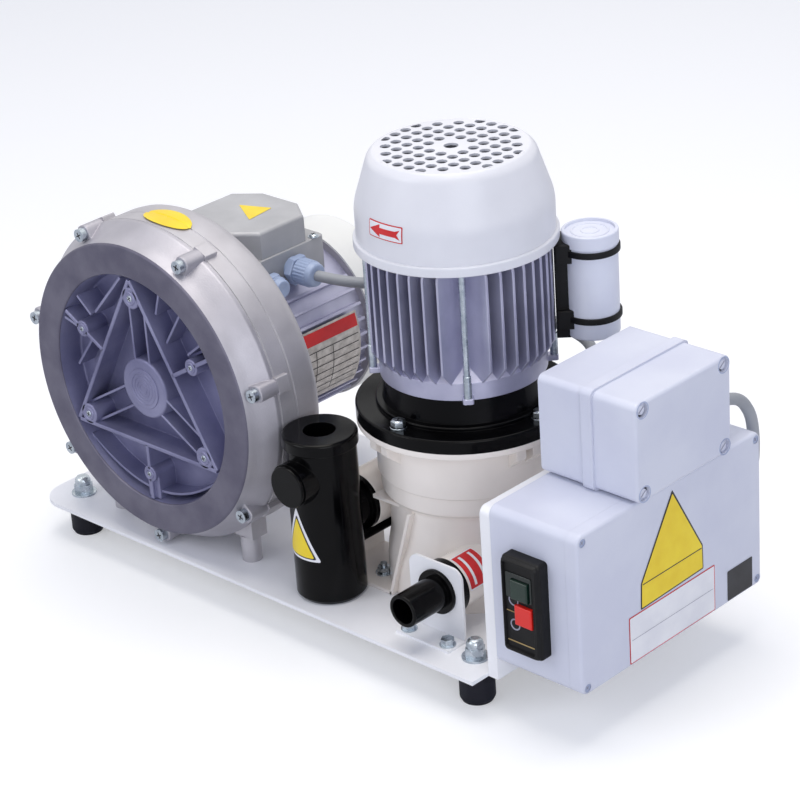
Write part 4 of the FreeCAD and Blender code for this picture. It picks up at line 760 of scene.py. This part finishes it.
def make_can_holder():
    """Capacitor's holder: a plate against the motor and two thin straps."""
    holder = Piece("can_holder")
    place = upwards(CAN_X, CAN_Y, 0)
    for level in (237, 287):
        holder.turned(place, rounded([
            (19.5, level), (21.2, level, 0.4), (21.2, level + 4.4, 0.4), (19.5, level + 4.4)],
            closed=False), "matt_black", 64)
    heading = math.degrees(math.atan2(CAN_Y - MOTOR_Y, CAN_X - MOTOR_X))
    bar = spun(upwards(MOTOR_X, MOTOR_Y, 0), heading)
    holder.prism(bar, rectangle(67.5, -10, 78, 10, 1), 224, 293, "matt_black", 0.6)
    for level in (232, 282):
        holder.prism(bar, rectangle(67.5, -14, 82, 14, 2), level, level + 14, "matt_black", 0.6)
    holder.done("capacitor_bracket")


def make_flange_bolts():
    """Hexagon bolts with washers on the black flange."""
    bolts = Piece("flange_bolt_heads")
    place = upwards(MOTOR_X, MOTOR_Y, FLANGE_TOP)
    for group in range(4):
        spot = spun(moved(spun(place, 90 * group), FLANGE_BOLT_CIRCLE, 0), 20)
        bolts.turned(spot, [(6.2, 0), (6.2, 0.8), (5.9, 1)], "zinc", 32)
        bolts.prism(spot, hexagon(5.4), 1, 5.6, "zinc", 0.5)
        bolts.turned(spot, [(4.6, 5.6), (3.8, 6.2), (0.01, 6.3)], "zinc", 24)
        cross_mark(bolts, spot, 2.6, 6.4, 15)
    bolts.done("flange_bolts")


# Trim and labels

def make_blower_trim(housing):
    """Screw recesses, boss cups and hub rings in the cover, and the film on the housing."""
    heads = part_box("cover_screws")[0].y / MM
    marks = Piece("cover_screw_recesses")
    for k in range(LUGS):
        turn = math.radians(-90 + 360 * k / LUGS)
        x, z = BLOWER_X + LUG_CIRCLE * math.cos(turn), BLOWER_Z + LUG_CIRCLE * math.sin(turn)
        place = frontwards(x, heads, z)
        cross_mark(marks, place, 2.6, 0.12, 20 + 47 * k)
    marks.done()

    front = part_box("blower_cover")[0].y / MM
    cups = Piece("cover_boss_cups")
    for circle, start, radius in ((BOSS_CIRCLE, 90, 4.6), (SMALL_BOSS_CIRCLE, -90, 3.6)):
        for k in range(3):
            turn = math.radians(start + 120 * k)
            x, z = BLOWER_X + circle * math.cos(turn), BLOWER_Z + circle * math.sin(turn)
            place = frontwards(x, front + 1, z)
            cups.turned(place, [(radius + 1, 0), (radius + 0.6, 0.7), (radius, 0.8),
                                (radius - 0.7, 0.15), (0.01, 0.1)], "cover")
            cups.turned(place, [(radius * 0.55, 0.1), (radius * 0.5, 0.6), (0.01, 0.75)], "zinc")
            cross_mark(cups, place, radius * 0.4, 0.8, 30 + 40 * k)
    cups.done()

    hub = Piece("cover_hub_rings")
    place = frontwards(BLOWER_X, PARTING_Y - HUB_RISE, BLOWER_Z)
    for radius in (3.5, 6.5, 9.5, 12.5):
        hub.turned(place, [(radius + 0.8, -0.2), (radius + 0.5, 0.35), (radius - 0.2, 0.35),
                           (radius - 0.5, -0.2)], "cover", 48)
    hub.done()

    film = Piece("housing_film")
    place = upwards(-131, -76, 330)
    film.cling(housing, place, oval(23, 12), "yellow", 1.1, 16)
    film.done()


def make_motor_trim():
    """Plain rating plate, and the terminal box's film and screws, on the blower's motor."""
    plate = Piece("rating_plate")
    place = frontwards(BLOWER_X, 0, BLOWER_Z)

    def wrapped(from_turn, to_turn, back, front, key, lift=0.2):
        radius = PLATE_RADIUS + lift
        rings = []
        for k in range(25):
            turn = math.radians(from_turn + (to_turn - from_turn) * k / 24)
            rings.append(plate.points(place, [
                (radius * math.cos(turn), radius * math.sin(turn), level)
                for level in (-back, -front)]))
        plate.skin(rings, key, closed=False)

    wrapped(-34, 19, 52, -15, "silver", 0)
    wrapped(9, 17.5, 50.5, -13.5, "red_print")
    for turn in (4, -1.5, -7, -12.5, -18, -23.5, -29):
        wrapped(turn, turn + 0.5, 50, -13, "dark_print_and_shade")
    for side in (4, 22):
        wrapped(-29, 4, side + 0.5, side, "dark_print_and_shade")
    plate.done()

    lid = Piece("terminal_lid_film")
    place = upwards(0, 0, 300)
    lid.cling(nodes["terminal_box_lid"], place,
              softened([(-156.8, 18.1), (-130.8, 28.2), (-127.5, 1.0)][::-1], 1.5), "yellow")
    lid.done()

    screw = Piece("terminal_base_screws")
    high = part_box("terminal_box_base")[1].z / MM
    for x, y in ((-103, 43), (-103, -23), (-164, 43), (-164, -23)):
        place = upwards(x, y, high)
        screw.turned(place, [(4.4, 0), (4.4, 0.5), (3.4, 0.6), (3.2, 1.4), (2.2, 2.1), (0.01, 2.3)],
                     "zinc", 24)
        cross_mark(screw, place, 2, 2.35, 25)
    screw.done()


def make_hood_label(hood):
    """White label with a plain arrow that shows the way the fan turns."""
    label = Piece("direction_label")
    place = frontwards(MOTOR_X, MOTOR_Y - 90, 328)
    label.cling(hood, place, rectangle(-16.5, -6, 15, 6, 1), "red_print", 0.2)
    label.cling(hood, place, rectangle(-15.7, -5.2, 14.2, 5.2, 0.6), "white_print", 0.35)
    label.cling(hood, place, [(-15, 0), (-5, -4.6), (-5, 4.6)], "red_print", 0.5, 4)
    label.cling(hood, place, [(-5.2, -2.2), (9, -2.2), (13, -3.6), (10.5, 0), (13, 3.6), (9, 2.2),
                              (-5.2, 2.2)], "red_print", 0.5, 4)
    label.done()


def make_box_labels():
    """Plain films on the lower box's lid."""
    place = rightwards(300, 0, 0)
    films = Piece("box_films")
    lid = nodes["control_box_lid"]
    films.cling(lid, place, softened([
        (-35.7, 103.5), (-36.6, 83.3), (33, 85), (32.6, 104), (0.4, 160.5)], 1.2), "dark_print_and_shade", 0.2)
    films.cling(lid, place, softened([
        (-34.6, 103), (-35.4, 84.5), (31.9, 86.1), (31.5, 103.6), (0.4, 157.6)], 1), "yellow", 0.35)
    films.cling(lid, place, rectangle(-34, 101.6, 31, 102.4), "dark_print_and_shade", 0.45)
    films.cling(lid, place, rectangle(-49.5, 46, 45.5, 82.5, 1), "red_print", 0.2)
    films.cling(lid, place, rectangle(-48.7, 46.8, 44.7, 81.7, 0.8), "white_print", 0.35)
    films.cling(lid, place, rectangle(-47, 63.9, 43, 64.3), "grey_print_and_shade", 0.45)
    films.cling(lid, place, rectangle(60, 46, 89, 70, 1), "dark_print_and_shade", 0.2)
    films.done()


def make_box_screws():
    """Rims and slots of the boxes' corner screws; the crosses and slots are drawn in a darker grey as
    painted shade.
    """
    marks = Piece("box_screw_marks")
    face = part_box("control_box_lid")[1].x / MM
    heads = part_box("control_box_screws")[1].x / MM
    for y in LOWER_BOX_SCREWS_Y:
        for z in LOWER_BOX_SCREWS_Z:
            place = rightwards(face, y, z)
            marks.turned(place, [(3.9, -0.1), (3.8, 0.25), (3.2, 0.25), (3.1, -0.1)], "box_grey", 32)
            # Painted shade: the cross recess drawn as grey bars.
            cross_mark(marks, rightwards(heads, y, z), 1.7, 0.12, 35, "grey_print_and_shade")
    marks.done()

    upper = Piece("upper_box_screw_marks")
    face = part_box("junction_box_screws")[1].x / MM
    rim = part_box("junction_box_lid")[1].x / MM
    for y in UPPER_BOX_SCREWS_Y:
        for z in UPPER_BOX_SCREWS_Z:
            place = rightwards(face, y, z)
            # Painted shade: the slot drawn as a grey bar.
            upper.prism(spun(place, 35), rectangle(-3, -0.5, 3, 0.5), -0.3, 0.1, "grey_print_and_shade")
            edge = rightwards(rim, y, z)
            upper.turned(edge, [(6.3, -0.1), (6.1, 0.2), (5.5, 0.2), (5.2, -0.2)], "plug_grey", 40)
    upper.done()


def make_switch_trim():
    """Raised rim, a dark glossy pane of painted shade in the recess round the start button, rings and
    lines of the start and stop switch.
    """
    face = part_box("switch_plate_body")[0].y / MM
    rim = Piece("switch_rim")
    place = frontwards(0, face, 0)
    outer = rectangle(216.5, 67.5, 248, 139, 3)
    inner = rectangle(219, 70.5, 244, 136, 1.5)
    middle = inset(outer, 1)
    rings = [rim.points(place, [(x, y, level) for x, y in loop])
             for loop, level in ((outer, -2), (outer, 0.2), (middle, 1.8),
                                 (inset(inner, -0.6), 1.8), (inner, 0.05))]
    rim.skin(rings, "matt_black")
    rim.done()

    # Painted shade: a thin dark glossy pane inside the rim stands for the shade of the recess.
    window = Piece("switch_window")
    low, high = (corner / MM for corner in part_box("start_button"))
    opening = rectangle(low.x - 0.2, low.z - 0.2, high.x + 0.2, high.z + 0.2, 0.5)
    pane = rectangle(220, 109.5, 243, 129, 1)
    window.skin([window.points(place, [(x, y, level) for x, y in loop])
                 for loop, level in ((pane, -0.2), (pane, 0.6), (inset(pane, 0.3), 0.9),
                                     (opening, 0.9), (opening, -0.2))], "window")
    window.done()

    marks = Piece("switch_marks")
    for x, z in ((226, 107.8), (226.6, 89)):
        ring = frontwards(x, face, z)
        marks.turned(ring, [(4.4, 0), (4.2, 0.35), (3.6, 0.35), (3.3, 0)], "grey_print_and_shade", 32)
    for outline in (rectangle(219.6, 98.4, 228, 99), rectangle(219.6, 75.4, 243.4, 76.1)):
        marks.prism(place, outline, -0.1, 0.3, "gold_print")
    marks.done()


def make_small_labels(well):
    """Films on the outlet pipe and the inlet trap, and the rings on the can's end."""
    band = Piece("outlet_film")
    place = facing(158, -57, 99, (0.7, 0, 0.7), (0, 1, 0))
    band.cling(well, place, rectangle(-13.8, -11, 13.8, 11, 1), "white_print", 0.2)
    band.cling(well, place, rectangle(-13, -10.2, 13, 10.2, 0.6), "red_print", 0.35)
    for line in (-4.8, 4.8):
        band.cling(well, place, rectangle(-11.5, line - 1.2, 11.5, line + 1.2), "white_print", 0.5, 3)
    band.done()

    film = Piece("trap_film")
    place = frontwards(18, -130, 80)
    for left, low, right, top, key, lift in (
            (-21.5, -11, 14.5, 31, "white_print", 0.2), (-18.5, -9.2, 11.5, 25, "dark_print_and_shade", 0.35),
            (-17, -8.2, 10, 22.5, "yellow", 0.5)):
        film.cling(nodes["inlet_trap"], place,
                   softened([(left, low), (right, low), ((left + right) / 2, top)], 2), key, lift)
    film.done()

    rings = Piece("can_end_rings")
    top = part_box("capacitor")[1].z / MM - 2
    place = upwards(CAN_X, CAN_Y, top)
    for radius in (6, 13):
        rings.turned(place, [(radius + 1, -0.1), (radius + 0.6, 0.6), (radius - 0.6, 0.6),
                             (radius - 1, -0.1)], "can", 48)
    rings.done()


# Floor, backdrop and lights

def add_stage():
    bpy.ops.mesh.primitive_plane_add(size=30, location=(0, 0, 0))
    floor = bpy.context.object
    floor.name = "floor"
    material = bpy.data.materials.new("floor")
    material.use_nodes = True
    tree = material.node_tree
    shader = tree.nodes["Principled BSDF"]
    shader.inputs["Base Color"].default_value = linear((0.89, 0.89, 0.89))
    shader.inputs["Roughness"].default_value = 0.9
    shader.inputs["Emission Color"].default_value = (1, 1, 1, 1)
    path = tree.nodes.new("ShaderNodeLightPath")
    lift = tree.nodes.new("ShaderNodeMath")
    lift.operation = "MULTIPLY"
    lift.inputs[1].default_value = 0.3
    tree.links.new(path.outputs["Is Camera Ray"], lift.inputs[0])
    tree.links.new(lift.outputs["Value"], shader.inputs["Emission Strength"])
    floor.data.materials.append(material)


def add_world():
    world = bpy.data.worlds.new("studio")
    scene.world = world
    world.use_nodes = True
    tree = world.node_tree
    light = tree.nodes["Background"]
    light.inputs["Color"].default_value = linear((0.88, 0.91, 1.0))
    light.inputs["Strength"].default_value = 0.5
    white = tree.nodes.new("ShaderNodeBackground")
    white.inputs["Color"].default_value = (1, 1, 1, 1)
    white.inputs["Strength"].default_value = 1.0
    path = tree.nodes.new("ShaderNodeLightPath")
    seen = path.outputs["Is Camera Ray"]
    for kind in ("Is Glossy Ray", "Is Transmission Ray"):
        either = tree.nodes.new("ShaderNodeMath")
        either.operation = "MAXIMUM"
        tree.links.new(seen, either.inputs[0])
        tree.links.new(path.outputs[kind], either.inputs[1])
        seen = either.outputs["Value"]
    mix = tree.nodes.new("ShaderNodeMixShader")
    tree.links.new(seen, mix.inputs["Fac"])
    tree.links.new(light.outputs["Background"], mix.inputs[1])
    tree.links.new(white.outputs["Background"], mix.inputs[2])
    tree.links.new(mix.outputs["Shader"], tree.nodes["World Output"].inputs["Surface"])


def add_lamp(name, at, aim, size, power, colour=(1, 1, 1)):
    data = bpy.data.lights.new(name, "AREA")
    data.shape = "SQUARE"
    data.size = size
    data.energy = power
    data.color = colour
    lamp = bpy.data.objects.new(name, data)
    scene.collection.objects.link(lamp)
    lamp.location = at
    lamp.rotation_euler = (Vector(aim) - Vector(at)).to_track_quat("-Z", "Y").to_euler()


add_camera()
finishes = make_finishes()
dress_nodes(finishes)
make_cover_casting()
make_blower_trim(make_housing_casting())
make_terminal_base()
make_motor_trim()
make_fin_casting()
make_hood_label(make_hood_shell())
make_can_holder()
make_flange_bolts()
make_outlet_tube()
make_box_labels()
make_box_screws()
make_switch_trim()
make_small_labels(make_separator_shells())
add_stage()
add_world()
add_lamp("top", (0.0, 0.1, 2.2), (0, 0, 0.1), 1.6, 29, (1, 0.96, 0.89))
add_lamp("key", (-0.7, -1.6, 1.3), (0, 0, 0.15), 1.0, 8, (0.94, 0.96, 1))
add_lamp("fill", (1.7, -1.0, 0.8), (0, 0, 0.15), 1.2, 10, (0.9, 0.93, 1))
scene.view_settings.view_transform = "Standard"
